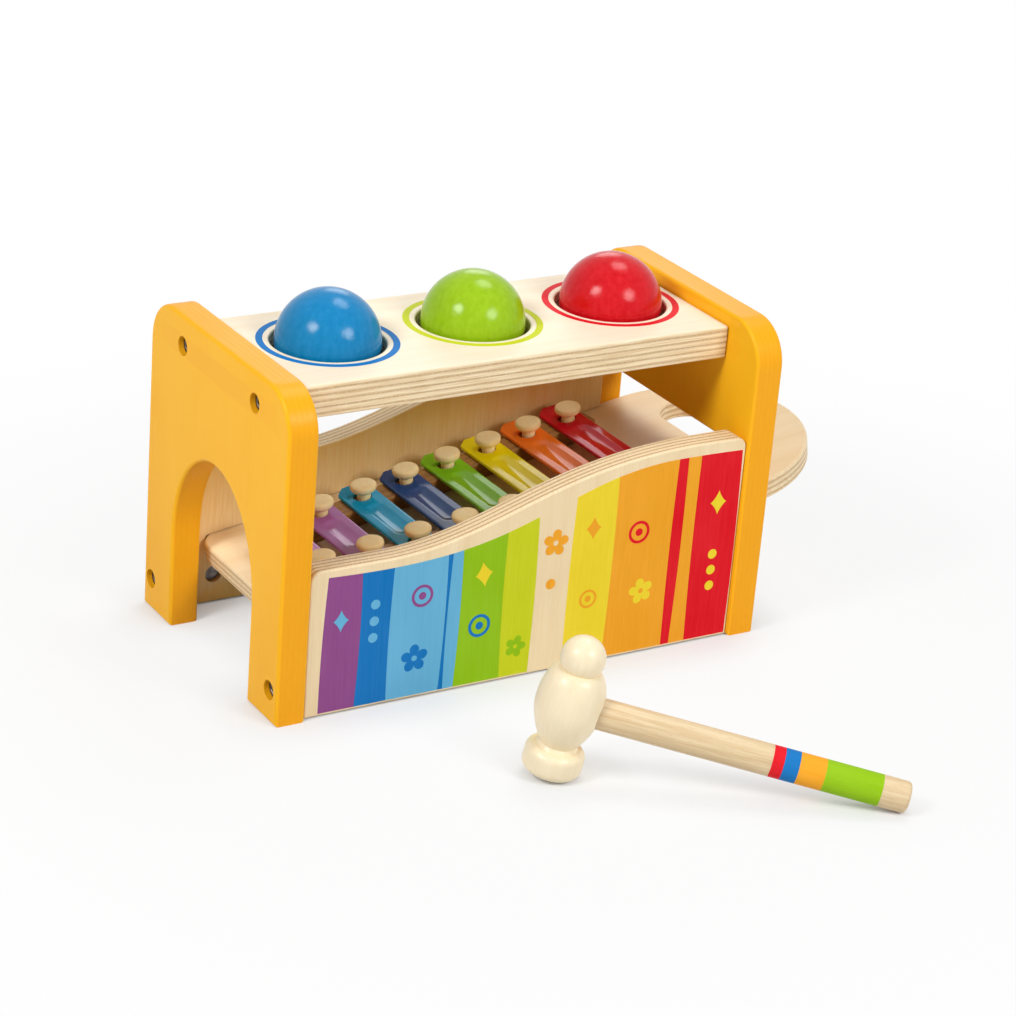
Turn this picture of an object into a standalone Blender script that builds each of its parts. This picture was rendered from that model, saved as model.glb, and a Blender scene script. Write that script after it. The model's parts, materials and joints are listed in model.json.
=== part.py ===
"""Pounding bench with a slide-out xylophone, a wooden toy, in metres with +Z up.

Two painted end panels carry a plywood top board with three ball holes and two
wave-topped side panels. A sloping xylophone board runs in grooves in the side
panels and pulls out through a window in the right end. A hammer stands in
front. The bench is drawn about its own middle, then moved so that the origin
is under the middle of everything, on the floor.
"""
import math

import bmesh
import bpy

MM = 0.001

# Fits
GAP = 0.3 * MM
GLIDE = 0.4 * MM

# Bench
BENCH_LENGTH = 251.0 * MM
BENCH_WIDTH = 135.4 * MM
BENCH_HEIGHT = 152.4 * MM

# End panels
END_THICKNESS = 14.5 * MM
END_CORNER_RADIUS = 20.0 * MM
END_EDGE_ROUND = 1.8 * MM
ARCH_WIDTH = 79.0 * MM
ARCH_HEIGHT = 95.0 * MM
ARCH_RISE = 49.0 * MM
WINDOW_CORNER_RADIUS = 4.0 * MM
WINDOW_OVER_PEGS = 2.9 * MM
WINDOW_UNDER_BOARD = 3.2 * MM

# Top board and balls
TOP_THICKNESS = 15.2 * MM
TOP_WIDTH = 86.4 * MM
TOP_BELOW_ENDS = 6.3 * MM
TOP_EDGE_ROUND = 1.0 * MM
BALL_DIAMETER = 47.5 * MM
BALL_HOLE_CLEARANCE = 2.1 * MM
BALL_PITCH = 73.4 * MM
BALL_ROW_X = 2.0 * MM
BALL_ROW_Y = 2.4 * MM

# Rubber rings that hold the balls, pressed into counterbores below
RING_SEAT = 1.85 * MM
RING_HEIGHT = 5.7 * MM
RING_LIP_HEIGHT = 5.2 * MM
RING_LIP_THICKNESS = 1.5 * MM
RING_WALL = 2.6 * MM

# Side panels
SIDE_THICKNESS = 12.0 * MM
SIDE_SETBACK = 1.5 * MM
SIDE_LIFT = 0.8 * MM
SIDE_LOW_TOP = 70.2 * MM
SIDE_HIGH_TOP = 100.4 * MM
SIDE_CORNER_RADIUS = 5.0 * MM
SIDE_EDGE_ROUND = 0.8 * MM
LOW_FLAT = 36.7 * MM
HIGH_FLAT = 22.9 * MM
WAVE_LOW_REACH = 54.4 * MM
WAVE_HIGH_REACH = 80.6 * MM
REAR_WAVE_SHIFT = 11.5 * MM

# Screws and barrel nuts
SCREW_DIAMETER = 5.0 * MM
SCREW_HEAD_DIAMETER = 8.2 * MM
SCREW_HEAD_HEIGHT = 4.0 * MM
SCREW_SOCKET = 4.0 * MM
SCREW_SOCKET_DEPTH = 2.2 * MM
SCREW_HEAD_CLEARANCE = 0.4 * MM
COUNTERBORE_DEPTH = 6.5 * MM
NUT_DIAMETER = 8.0 * MM
NUT_LENGTH = 8.0 * MM
NUT_FROM_END = 14.5 * MM
SCREW_PAST_NUT = 7.0 * MM
TOP_SCREW_SPACING = 70.6 * MM
SIDE_SCREW_HEIGHT = 14.9 * MM

# Xylophone board, measured along its own slope from the bench's middle
SLOPE = math.radians(9.2)
BOARD_TOP_HEIGHT = 51.4 * MM
BOARD_THICKNESS = 10.0 * MM
BOARD_IN_GROOVE = 4.2 * MM
BOARD_LEFT_GAP = 4.4 * MM
BOARD_OVERHANG = 58.4 * MM
BOARD_CORNER_RADIUS = 14.0 * MM
BOARD_EDGE_ROUND = 1.5 * MM
HANDLE_RIM = 29.4 * MM
FINGER_SLOT_WIDTH = 24.2 * MM
FINGER_SLOT_LENGTH = 74.6 * MM
GROOVE_STOP_GAP = 0.6 * MM
GROOVE_CORNER_RADIUS = 2.0 * MM

# Tone bars, pegs and the rails that carry them
BAR_COUNT = 8
BAR_PITCH = 23.3 * MM
FIRST_BAR_INSET = 26.1 * MM
BAR_WIDTH = 17.2 * MM
BAR_THICKNESS = 1.4 * MM
SHORTEST_BAR = 68.4 * MM
LONGEST_BAR = 104.4 * MM
BAR_CORNER_CUT = 5.0 * MM
BAR_HOLE_CLEARANCE = 1.2 * MM
FLUTE_WIDTH = 9.0 * MM
FLUTE_DEPTH = 0.7 * MM
FLUTE_TO_PEG = 9.0 * MM
SHORTEST_PEG_SPAN = 44.1 * MM
LONGEST_PEG_SPAN = 70.9 * MM
RAIL_HEIGHT = 8.4 * MM
RAIL_WIDTH = 14.0 * MM
RAIL_END_MARGIN = 11.0 * MM
PEG_STEM_DIAMETER = 6.4 * MM
PEG_HEAD_DIAMETER = 12.5 * MM
PEG_DOME = 2.1 * MM
PEG_LIP = 1.4 * MM
PEG_NECK = 3.6 * MM

# Hammer
HAMMER_X = -36.3 * MM
HAMMER_Y = -148.6 * MM
HAMMER_TURN = math.radians(-35.7)
FACE_RADIUS = 13.2 * MM
FACE_THICKNESS = 12.6 * MM
FACE_EDGE_ROUND = 4.0 * MM
WAIST_RADIUS = 8.3 * MM
WAIST_HEIGHT = 14.1 * MM
BARREL_RADIUS = 14.8 * MM
BARREL_HEIGHT = 32.6 * MM
BARREL_TAPER = 1.8
NECK_RADIUS = 8.1 * MM
NECK_HEIGHT = 49.7 * MM
KNOB_RADIUS = 9.75 * MM
HANDLE_HEIGHT = 31.9 * MM
HANDLE_RADIUS = 7.0 * MM
HANDLE_REACH = 148.4 * MM
HANDLE_END_ROUND = 2.0 * MM
HANDLE_TENON_START = 2.0 * MM
SPOT_FACE_REACH = 13.8 * MM
SPOT_FACE_LAND = 1.6 * MM

# Facets, with the angle above which an edge is left sharp
CORNER_STEPS = 6
EDGE_STEPS = 1
ARCH_STEPS = 28
WAVE_STEPS = 16
BOARD_END_STEPS = 24
HOLE_STEPS = 32
BORE_STEPS = 10
PEG_STEPS = 10
PEG_DOME_STEPS = 3
PEG_LIP_STEPS = 2
BALL_STEPS = 24
HAMMER_STEPS = 20
KNOB_STEPS = 6
BARREL_STEPS = 4
ROUND_STEPS = 3
FLUTE_STEPS = 36
SHARP_ANGLE = math.radians(40)
CUT_MARGIN = 2.0 * MM
WELD = 0.01 * MM

# Places worked out from the sizes above
HALF_LENGTH = BENCH_LENGTH / 2
HALF_WIDTH = BENCH_WIDTH / 2
END_X = HALF_LENGTH - END_THICKNESS / 2
INNER_X = HALF_LENGTH - END_THICKNESS
TOP_SURFACE = BENCH_HEIGHT - TOP_BELOW_ENDS
TOP_MID = TOP_SURFACE - TOP_THICKNESS / 2
TOP_UNDERSIDE = TOP_SURFACE - TOP_THICKNESS
SIDE_Y = HALF_WIDTH - SIDE_SETBACK - SIDE_THICKNESS / 2
SIDE_INNER_Y = HALF_WIDTH - SIDE_SETBACK - SIDE_THICKNESS
BALL_RADIUS = BALL_DIAMETER / 2
BALL_HOLE_RADIUS = BALL_RADIUS + BALL_HOLE_CLEARANCE
RING_RADIUS = BALL_HOLE_RADIUS + RING_SEAT
BOARD_HALF = SIDE_INNER_Y + BOARD_IN_GROOVE
BOARD_LEFT_END = -INNER_X + BOARD_LEFT_GAP
BOARD_RIGHT_END = HALF_LENGTH + BOARD_OVERHANG
BOARD_MID = -BOARD_THICKNESS / 2
RAIL_BASE = GAP
RAIL_TOP = RAIL_BASE + RAIL_HEIGHT
BAR_BASE = RAIL_TOP + GAP
BAR_TOP = BAR_BASE + BAR_THICKNESS
PEG_TOP = BAR_TOP + PEG_NECK + PEG_LIP + PEG_DOME
FIRST_BAR = BOARD_LEFT_END + FIRST_BAR_INSET
# The bars hang loose on their pegs, slipped down the slope as far as their holes let them
BAR_SLIP = BAR_HOLE_CLEARANCE - GAP
BAR_STEP = (LONGEST_BAR - SHORTEST_BAR) / (BAR_COUNT - 1)
PEG_SPAN_STEP = (LONGEST_PEG_SPAN - SHORTEST_PEG_SPAN) / (BAR_COUNT - 1)
KNOB_HEIGHT = NECK_HEIGHT + math.sqrt(KNOB_RADIUS ** 2 - NECK_RADIUS ** 2)

# Finishes
LACQUER_ROUGHNESS = 0.25
ENAMEL_ROUGHNESS = 0.3
ENAMEL_METALLIC = 0.5
BAR_COLOURS = (
    ("lilac", (0.48, 0.30, 0.62)),
    ("purple", (0.24, 0.08, 0.27)),
    ("cyan", (0.0, 0.26, 0.46)),
    ("navy", (0.02, 0.05, 0.16)),
    ("green", (0.15, 0.34, 0.03)),
    ("yellow", (0.64, 0.45, 0.0)),
    ("orange", (0.60, 0.10, 0.01)),
    ("red", (0.35, 0.0, 0.01)),
)
BALL_COLOURS = (
    ("blue", (0.0, 0.20, 0.51)),
    ("green", (0.36, 0.58, 0.01)),
    ("red", (0.72, 0.0, 0.01)),
)


# Scene helpers

def clear_scene():
    """Remove every object that the scene starts with."""
    for item in list(bpy.data.objects):
        bpy.data.objects.remove(item, do_unlink=True)


def new_collection(name):
    collection = bpy.data.collections.new(name)
    bpy.context.scene.collection.children.link(collection)
    return collection


def new_material(name, colour, roughness, metallic=0.0):
    """A Principled material of one colour."""
    made = bpy.data.materials.new(name)
    made.use_nodes = True
    shader = made.node_tree.nodes["Principled BSDF"]
    shader.inputs["Base Color"].default_value = (*colour, 1.0)
    shader.inputs["Roughness"].default_value = roughness
    shader.inputs["Metallic"].default_value = metallic
    made.diffuse_color = (*colour, 1.0)
    return made


def new_empty(name, parent=None, location=(0, 0, 0), rotation=(0, 0, 0)):
    empty = bpy.data.objects.new(name, None)
    PARTS.objects.link(empty)
    place(empty, parent, location, rotation)
    return empty


def place(item, parent, location=(0, 0, 0), rotation=(0, 0, 0)):
    item.parent = parent
    item.location = location
    item.rotation_euler = rotation


def add_part(name, mesh, finish, parent, location=(0, 0, 0), rotation=(0, 0, 0)):
    """One named sub-part with its own material."""
    part = bpy.data.objects.new(name, mesh)
    PARTS.objects.link(part)
    if not mesh.materials:
        mesh.materials.append(finish)
    place(part, parent, location, rotation)
    return part


def add_cutter(item, parent, location=(0, 0, 0), rotation=(0, 0, 0)):
    """Make an object a cutter: unseen, and placed like a part."""
    for collection in list(item.users_collection):
        collection.objects.unlink(item)
    CUTTERS.objects.link(item)
    item.hide_render = True
    item.display_type = "WIRE"
    place(item, parent, location, rotation)
    return item


def cut(part, cutter):
    modifier = part.modifiers.new(cutter.name, "BOOLEAN")
    modifier.operation = "DIFFERENCE"
    modifier.solver = "EXACT"
    modifier.object = cutter


def bake(item):
    """The evaluated mesh of an object, welded, with the object removed."""
    graph = bpy.context.evaluated_depsgraph_get()
    mesh = bpy.data.meshes.new_from_object(item.evaluated_get(graph))
    mesh.name = item.name
    work = bmesh.new()
    work.from_mesh(mesh)
    bmesh.ops.remove_doubles(work, verts=work.verts, dist=WELD)
    work.to_mesh(mesh)
    work.free()
    mesh.shade_smooth()
    mesh.set_sharp_from_angle(angle=SHARP_ANGLE)
    bpy.data.objects.remove(item, do_unlink=True)
    return mesh


# Shape helpers

def arc(centre, radius, start, end, steps):
    """Points of an arc, both ends included, with its angles in degrees."""
    points = []
    for step in range(steps + 1):
        angle = math.radians(start + (end - start) * step / steps)
        points.append((centre[0] + radius * math.cos(angle), centre[1] + radius * math.sin(angle)))
    return points


def circle(centre, radius, steps):
    return arc(centre, radius, 0, 360, steps)[:-1]


def rounded_outline(corners):
    """A closed outline of corners (x, y, radius), each turned by an arc."""
    points = []
    count = len(corners)
    for index, (x, y, radius) in enumerate(corners):
        if radius == 0:
            points.append((x, y))
            continue
        before = corners[index - 1]
        after = corners[(index + 1) % count]
        to_before = math.atan2(before[1] - y, before[0] - x)
        to_after = math.atan2(after[1] - y, after[0] - x)
        turn = (to_after - to_before + math.pi) % (2 * math.pi) - math.pi
        reach = radius / math.sin(abs(turn) / 2)
        middle = to_before + turn / 2
        centre = (x + reach * math.cos(middle), y + reach * math.sin(middle))
        sweep = (math.pi - abs(turn)) * (-1 if turn > 0 else 1)
        first = middle + math.pi - sweep / 2
        points += arc(centre, radius, math.degrees(first), math.degrees(first + sweep), CORNER_STEPS)
    return points


def rectangle(left, bottom, right, top, radius=0.0):
    return rounded_outline(
        [(left, bottom, radius), (right, bottom, radius), (right, top, radius), (left, top, radius)]
    )


def plate(name, outlines, thickness, edge_round=0.0, edge_steps=0):
    """A flat board of the first outline with the others as holes, edges rounded."""
    curve = bpy.data.curves.new(name, "CURVE")
    curve.dimensions = "2D"
    curve.fill_mode = "BOTH"
    curve.extrude = thickness / 2 - edge_round
    curve.bevel_depth = edge_round
    curve.bevel_resolution = edge_steps
    curve.offset = -edge_round
    for outline in outlines:
        spline = curve.splines.new("POLY")
        spline.points.add(len(outline) - 1)
        for point, (x, y) in zip(spline.points, outline):
            point.co = (x, y, 0, 1)
        spline.use_cyclic_u = True
    drawn = bpy.data.objects.new(name, curve)
    PARTS.objects.link(drawn)
    return bake(drawn)


def turned(name, profile, steps, closed=False):
    """A turned solid: a profile of (radius, height) from top to bottom, spun round Z."""
    count = len(profile)
    edges = [(index, index + 1) for index in range(count - 1)]
    if closed:
        edges.append((count - 1, 0))
    mesh = bpy.data.meshes.new(name)
    mesh.from_pydata([(radius, 0, height) for radius, height in profile], edges, [])
    item = bpy.data.objects.new(name, mesh)
    PARTS.objects.link(item)
    spin = item.modifiers.new("turn", "SCREW")
    spin.steps = steps
    spin.render_steps = steps
    spin.use_merge_vertices = True
    spin.merge_threshold = WELD
    spin.use_smooth_shade = True
    return item


# Orientations of a board drawn flat: standing across the bench, and along it
ACROSS = (math.pi / 2, 0, math.pi / 2)
ALONG = (math.pi / 2, 0, 0)


# Bench

def arch_points():
    """The left end's arch, a half ellipse on two straight legs, right to left."""
    spring = ARCH_HEIGHT - ARCH_RISE
    points = [(ARCH_WIDTH / 2, 0, 0)]
    for step in range(ARCH_STEPS + 1):
        angle = math.pi * step / ARCH_STEPS
        points.append((ARCH_WIDTH / 2 * math.cos(angle), spring + ARCH_RISE * math.sin(angle), 0))
    points.append((-ARCH_WIDTH / 2, 0, 0))
    return points


def end_corners():
    return [
        (-HALF_WIDTH, 0, 0),
        (-HALF_WIDTH, BENCH_HEIGHT, END_CORNER_RADIUS),
        (HALF_WIDTH, BENCH_HEIGHT, END_CORNER_RADIUS),
        (HALF_WIDTH, 0, 0),
    ]


def slope_height(x, above):
    """Height at x of the plane that lies so far above the xylophone board's top."""
    return BOARD_TOP_HEIGHT + x * math.tan(SLOPE) + above / math.cos(SLOPE)


def make_end_panels():
    """The left end with its arch and the right end with the xylophone's window."""
    left_outline = [rounded_outline(end_corners() + arch_points())]
    window = BOARD_HALF + GLIDE
    sill = slope_height(INNER_X, -BOARD_THICKNESS) - WINDOW_UNDER_BOARD
    head = slope_height(HALF_LENGTH, PEG_TOP) + WINDOW_OVER_PEGS
    right_outline = [
        rounded_outline(end_corners()),
        rectangle(-window, sill, window, head, WINDOW_CORNER_RADIUS),
    ]
    ends = {}
    for side, outline in (("left", left_outline), ("right", right_outline)):
        mesh = plate(side + "_end_panel", outline, END_THICKNESS, END_EDGE_ROUND, EDGE_STEPS)
        direction = -1 if side == "left" else 1
        ends[side] = add_part(
            side + "_end_panel", mesh, PAINT, BENCH, (direction * END_X, 0, 0), ACROSS
        )
    return ends


def ring_lip_radius():
    """Inner radius of a ring's lip, whose upper edge is a gap away from the resting ball."""
    depth = TOP_THICKNESS - RING_LIP_HEIGHT
    level = math.sqrt(BALL_RADIUS ** 2 - depth ** 2)
    return level + GAP * BALL_RADIUS / level


def make_top_board():
    """The top board, with a hole and a counterbore from below for each ball."""
    half = INNER_X - GAP
    outlines = [rectangle(-half, -TOP_WIDTH / 2, half, TOP_WIDTH / 2, TOP_EDGE_ROUND)]
    outlines += [circle(spot, BALL_HOLE_RADIUS, HOLE_STEPS) for spot in ball_spots()]
    mesh = plate("top_board", outlines, TOP_THICKNESS, TOP_EDGE_ROUND)
    board = add_part("top_board", mesh, BIRCH, BENCH, (0, 0, TOP_MID))
    radius = RING_RADIUS + GAP
    profile = [(0, RING_HEIGHT + GAP), (radius, RING_HEIGHT + GAP), (radius, -CUT_MARGIN), (0, -CUT_MARGIN)]
    for (colour, _), (x, y) in zip(BALL_COLOURS, ball_spots()):
        cutter = turned(colour + "_counterbore", profile, HOLE_STEPS)
        cut(board, add_cutter(cutter, BENCH, (x, y, TOP_UNDERSIDE)))
    return board


def ball_spots():
    return [(BALL_ROW_X + BALL_PITCH * step, BALL_ROW_Y) for step in (-1, 0, 1)]


def make_balls():
    """Three balls, each with its middle level with the top board, in its rubber ring."""
    lip = ring_lip_radius()
    wall = RING_RADIUS - RING_WALL
    profile = [
        (RING_RADIUS, RING_HEIGHT),
        (RING_RADIUS, 0),
        (wall, 0),
        (wall, RING_LIP_HEIGHT - 2 * RING_LIP_THICKNESS),
        (lip, RING_LIP_HEIGHT - RING_LIP_THICKNESS),
        (lip, RING_LIP_HEIGHT),
        (wall, RING_HEIGHT),
    ]
    ring_mesh = bake(turned("ball_ring", profile, BALL_STEPS, closed=True))
    for (colour, shade), (x, y) in zip(BALL_COLOURS, ball_spots()):
        mesh = bpy.data.meshes.new(colour + "_ball")
        work = bmesh.new()
        bmesh.ops.create_uvsphere(work, u_segments=BALL_STEPS, v_segments=BALL_STEPS // 2, radius=BALL_RADIUS)
        work.to_mesh(mesh)
        work.free()
        mesh.shade_smooth()
        finish = new_material(colour + " lacquer", shade, LACQUER_ROUGHNESS)
        add_part(colour + "_ball", mesh, finish, BENCH, (x, y, TOP_SURFACE))
        add_part(colour + "_ball_ring", ring_mesh, RUBBER, BENCH, (x, y, TOP_UNDERSIDE))


def wave(reach, shift):
    """The wave of a side panel's top edge, from its high right to its low left."""
    start = -reach + LOW_FLAT + shift
    end = reach - HIGH_FLAT + shift
    xs = (end, end - WAVE_HIGH_REACH, start + WAVE_LOW_REACH, start)
    zs = (SIDE_HIGH_TOP, SIDE_HIGH_TOP, SIDE_LOW_TOP, SIDE_LOW_TOP)
    points = []
    for step in range(WAVE_STEPS + 1):
        t = step / WAVE_STEPS
        weights = ((1 - t) ** 3, 3 * t * (1 - t) ** 2, 3 * t ** 2 * (1 - t), t ** 3)
        x = sum(weight * value for weight, value in zip(weights, xs))
        z = sum(weight * value for weight, value in zip(weights, zs))
        points.append((x, z, 0))
    return points


def make_side_panels():
    """Front and rear side panels, grooved on their inner faces for the xylophone."""
    reach = INNER_X - GAP
    groove = groove_cutter()
    sides = {}
    for side, direction, shift in (("front", -1, 0), ("rear", 1, REAR_WAVE_SHIFT)):
        corners = [
            (-reach, SIDE_LIFT, 0),
            (reach, SIDE_LIFT, 0),
            (reach, SIDE_HIGH_TOP, SIDE_CORNER_RADIUS),
        ]
        corners += wave(reach, shift)
        corners.append((-reach, SIDE_LOW_TOP, SIDE_CORNER_RADIUS))
        mesh = plate(side + "_side_panel", [rounded_outline(corners)], SIDE_THICKNESS, SIDE_EDGE_ROUND)
        panel = add_part(
            side + "_side_panel", mesh, BIRCH, BENCH, (0, direction * SIDE_Y, 0), ALONG
        )
        cut(panel, groove)
        sides[side] = panel
    return sides


def groove_cutter():
    """The board's path between the side panels, closed at the left by a stop."""
    into_corner = SIDE_INNER_Y - (BOARD_HALF - BOARD_CORNER_RADIUS)
    set_in = BOARD_CORNER_RADIUS - math.sqrt(BOARD_CORNER_RADIUS ** 2 - into_corner ** 2)
    left = BOARD_LEFT_END + set_in - GROOVE_STOP_GAP
    outline = rounded_outline([
        (left, -BOARD_THICKNESS - GLIDE, GROOVE_CORNER_RADIUS),
        (BOARD_RIGHT_END, -BOARD_THICKNESS - GLIDE, 0),
        (BOARD_RIGHT_END, GLIDE, 0),
        (left, GLIDE, GROOVE_CORNER_RADIUS),
    ])
    mesh = plate("groove", [outline], 2 * (BOARD_HALF + GLIDE))
    return add_cutter(bpy.data.objects.new("groove", mesh), XYLOPHONE, (0, 0, 0), ALONG)


# Fasteners

def screw_mesh():
    """A socket-head screw pointing up, with its head's top at height 0."""
    length = SCREW_HEAD_HEIGHT + END_THICKNESS - COUNTERBORE_DEPTH + NUT_FROM_END + SCREW_PAST_NUT
    radius = SCREW_DIAMETER / 2
    profile = [
        (0, length),
        (radius, length),
        (radius, SCREW_HEAD_HEIGHT),
        (SCREW_HEAD_DIAMETER / 2, SCREW_HEAD_HEIGHT),
        (SCREW_HEAD_DIAMETER / 2, 0),
        (0, 0),
    ]
    screw = turned("socket_screw", profile, BORE_STEPS)
    mesh = bpy.data.meshes.new("socket")
    work = bmesh.new()
    corner_radius = SCREW_SOCKET / math.sqrt(3)
    bmesh.ops.create_cone(
        work, cap_ends=True, segments=6, radius1=corner_radius, radius2=corner_radius,
        depth=2 * SCREW_SOCKET_DEPTH,
    )
    work.to_mesh(mesh)
    work.free()
    socket = add_cutter(bpy.data.objects.new("socket", mesh), None)
    cut(screw, socket)
    baked = bake(screw)
    bpy.data.objects.remove(socket, do_unlink=True)
    return baked


def nut_mesh():
    """A barrel nut standing on Z, with its thread's hole along X."""
    radius = NUT_DIAMETER / 2
    half = NUT_LENGTH / 2
    nut = turned("barrel_nut", [(0, half), (radius, half), (radius, -half), (0, -half)], BORE_STEPS)
    hole = bore_cutter("nut_hole", [(SCREW_DIAMETER / 2 + GAP, -NUT_DIAMETER, NUT_DIAMETER)])
    cut(nut, add_cutter(hole, None, (0, 0, 0), (0, math.pi / 2, 0)))
    baked = bake(nut)
    bpy.data.objects.remove(hole, do_unlink=True)
    return baked


def bore_cutter(name, stretches, steps=BORE_STEPS):
    """A stepped bore along Z: stretches of (radius, from, to), the deepest first."""
    profile = [(0, stretches[0][2])]
    for radius, start, end in stretches:
        profile += [(radius, end), (radius, start)]
    profile.append((0, stretches[-1][1]))
    return turned(name, profile, steps)


def make_fasteners(ends, top, sides):
    """A screw through each end into a barrel nut, four a side, with their bores."""
    screws = screw_mesh()
    nuts = nut_mesh()
    past_nut = END_THICKNESS + NUT_FROM_END + SCREW_PAST_NUT + CUT_MARGIN
    bore = [
        (SCREW_DIAMETER / 2 + GAP, COUNTERBORE_DEPTH, past_nut),
        (SCREW_HEAD_DIAMETER / 2 + SCREW_HEAD_CLEARANCE, -CUT_MARGIN, COUNTERBORE_DEPTH),
    ]
    nut_radius = NUT_DIAMETER / 2 + GAP
    open_end = -max(TOP_THICKNESS, SIDE_THICKNESS)
    nut_bore = [(nut_radius, open_end, NUT_LENGTH / 2 + GAP)]
    top_y = TOP_SCREW_SPACING / 2
    seats = (
        ("top_front", -top_y, TOP_MID, top, (0, 0, 0)),
        ("top_rear", top_y, TOP_MID, top, (0, 0, 0)),
        ("base_front", -SIDE_Y, SIDE_SCREW_HEIGHT, sides["front"], (math.pi / 2, 0, 0)),
        ("base_rear", SIDE_Y, SIDE_SCREW_HEIGHT, sides["rear"], (-math.pi / 2, 0, 0)),
    )
    head_top = COUNTERBORE_DEPTH - GAP - SCREW_HEAD_HEIGHT
    for end, direction in (("left", -1), ("right", 1)):
        inward = (0, -direction * math.pi / 2, 0)
        for spot, y, z, carrier, nut_turn in seats:
            name = end + "_" + spot
            face = (direction * HALF_LENGTH, y, z)
            bored = add_cutter(bore_cutter(name + "_bore", bore), BENCH, face, inward)
            cut(ends[end], bored)
            cut(carrier, bored)
            head = (direction * (HALF_LENGTH - head_top), y, z)
            add_part(name + "_screw", screws, STEEL, BENCH, head, inward)
            seat = (direction * (INNER_X - NUT_FROM_END), y, z)
            cut(carrier, add_cutter(bore_cutter(name + "_nut_bore", nut_bore), BENCH, seat, nut_turn))
            add_part(name + "_nut", nuts, STEEL, BENCH, seat, nut_turn)


# Xylophone, in the slope's own frame

def bar_spot(index):
    """Where bar number index crosses the board, and half the span of its pegs."""
    return FIRST_BAR + BAR_PITCH * index, (SHORTEST_PEG_SPAN + PEG_SPAN_STEP * index) / 2


def make_board():
    """The sliding board: round handle end with a finger slot, round left corners."""
    end_centre = BOARD_RIGHT_END - BOARD_HALF
    outline = rounded_outline([
        (end_centre, BOARD_HALF, 0),
        (BOARD_LEFT_END, BOARD_HALF, BOARD_CORNER_RADIUS),
        (BOARD_LEFT_END, -BOARD_HALF, BOARD_CORNER_RADIUS),
        (end_centre, -BOARD_HALF, 0),
    ])
    outline += arc((end_centre, 0), BOARD_HALF, -90, 90, BOARD_END_STEPS)[1:-1]
    slot_right = BOARD_RIGHT_END - HANDLE_RIM
    slot = rectangle(
        slot_right - FINGER_SLOT_WIDTH, -FINGER_SLOT_LENGTH / 2, slot_right, FINGER_SLOT_LENGTH / 2,
        FINGER_SLOT_WIDTH / 2 - WELD,
    )
    mesh = plate("xylophone_board", [outline, slot], BOARD_THICKNESS, BOARD_EDGE_ROUND, EDGE_STEPS)
    add_part("xylophone_board", mesh, BIRCH, XYLOPHONE, (0, 0, BOARD_MID))


def make_rails():
    """Two rails that spread apart under the ends of the bars, with peg holes."""
    slant = math.atan2(PEG_SPAN_STEP / 2, BAR_PITCH)
    middle = FIRST_BAR + BAR_PITCH * (BAR_COUNT - 1) / 2
    spread = (SHORTEST_PEG_SPAN + LONGEST_PEG_SPAN) / 4
    pitch = BAR_PITCH / math.cos(slant)
    reach = pitch * (BAR_COUNT - 1) / 2 + RAIL_END_MARGIN
    outlines = [rectangle(-reach, -RAIL_WIDTH / 2, reach, RAIL_WIDTH / 2)]
    for index in range(BAR_COUNT):
        along = pitch * (index - (BAR_COUNT - 1) / 2)
        outlines.append(circle((along, 0), PEG_STEM_DIAMETER / 2 + GAP, PEG_STEPS))
    mesh = plate("rail", outlines, RAIL_HEIGHT)
    level = RAIL_BASE + RAIL_HEIGHT / 2
    for side, direction in (("front", -1), ("rear", 1)):
        add_part(
            side + "_bar_rail", mesh, BEECH, XYLOPHONE,
            (middle, direction * spread, level), (0, 0, direction * slant),
        )


def flute_cutter(name, length):
    """A long rounded form whose underside presses the flute into a bar."""
    radius = ((FLUTE_WIDTH / 2) ** 2 + FLUTE_DEPTH ** 2) / (2 * FLUTE_DEPTH)
    straight = length / 2 - FLUTE_WIDTH / 2
    profile = []
    for sign, first, last in ((1, 90, 0), (-1, 0, -90)):
        for radial, along in arc((0, 0), radius, first, last, CORNER_STEPS):
            profile.append((radial, along + sign * straight))
    return turned(name, profile, FLUTE_STEPS), radius


def make_bars():
    """Eight metal bars, longest at the high end, each fluted and hung on two pegs."""
    for index, (colour, shade) in enumerate(BAR_COLOURS):
        along, peg_y = bar_spot(index)
        half = (SHORTEST_BAR + BAR_STEP * index) / 2
        side = BAR_WIDTH / 2
        clip = side - BAR_CORNER_CUT
        step = half - BAR_CORNER_CUT
        outline = [
            (-clip, -half), (clip, -half), (side, -step), (side, step),
            (clip, half), (-clip, half), (-side, step), (-side, -step),
        ]
        hole = PEG_STEM_DIAMETER / 2 + BAR_HOLE_CLEARANCE
        holes = [circle((0, sign * peg_y), hole, PEG_STEPS) for sign in (-1, 1)]
        name = colour + "_tone_bar"
        mesh = plate(name, [outline] + holes, BAR_THICKNESS)
        finish = new_material(colour + " enamel", shade, ENAMEL_ROUGHNESS, ENAMEL_METALLIC)
        level = BAR_BASE + BAR_THICKNESS / 2
        bar = add_part(name, mesh, finish, XYLOPHONE, (along - BAR_SLIP, 0, level))
        cutter, radius = flute_cutter(colour + "_flute", 2 * (peg_y - FLUTE_TO_PEG))
        above = BAR_TOP - FLUTE_DEPTH + radius
        cut(bar, add_cutter(cutter, XYLOPHONE, (along - BAR_SLIP, 0, above), (math.pi / 2, 0, 0)))


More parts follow.
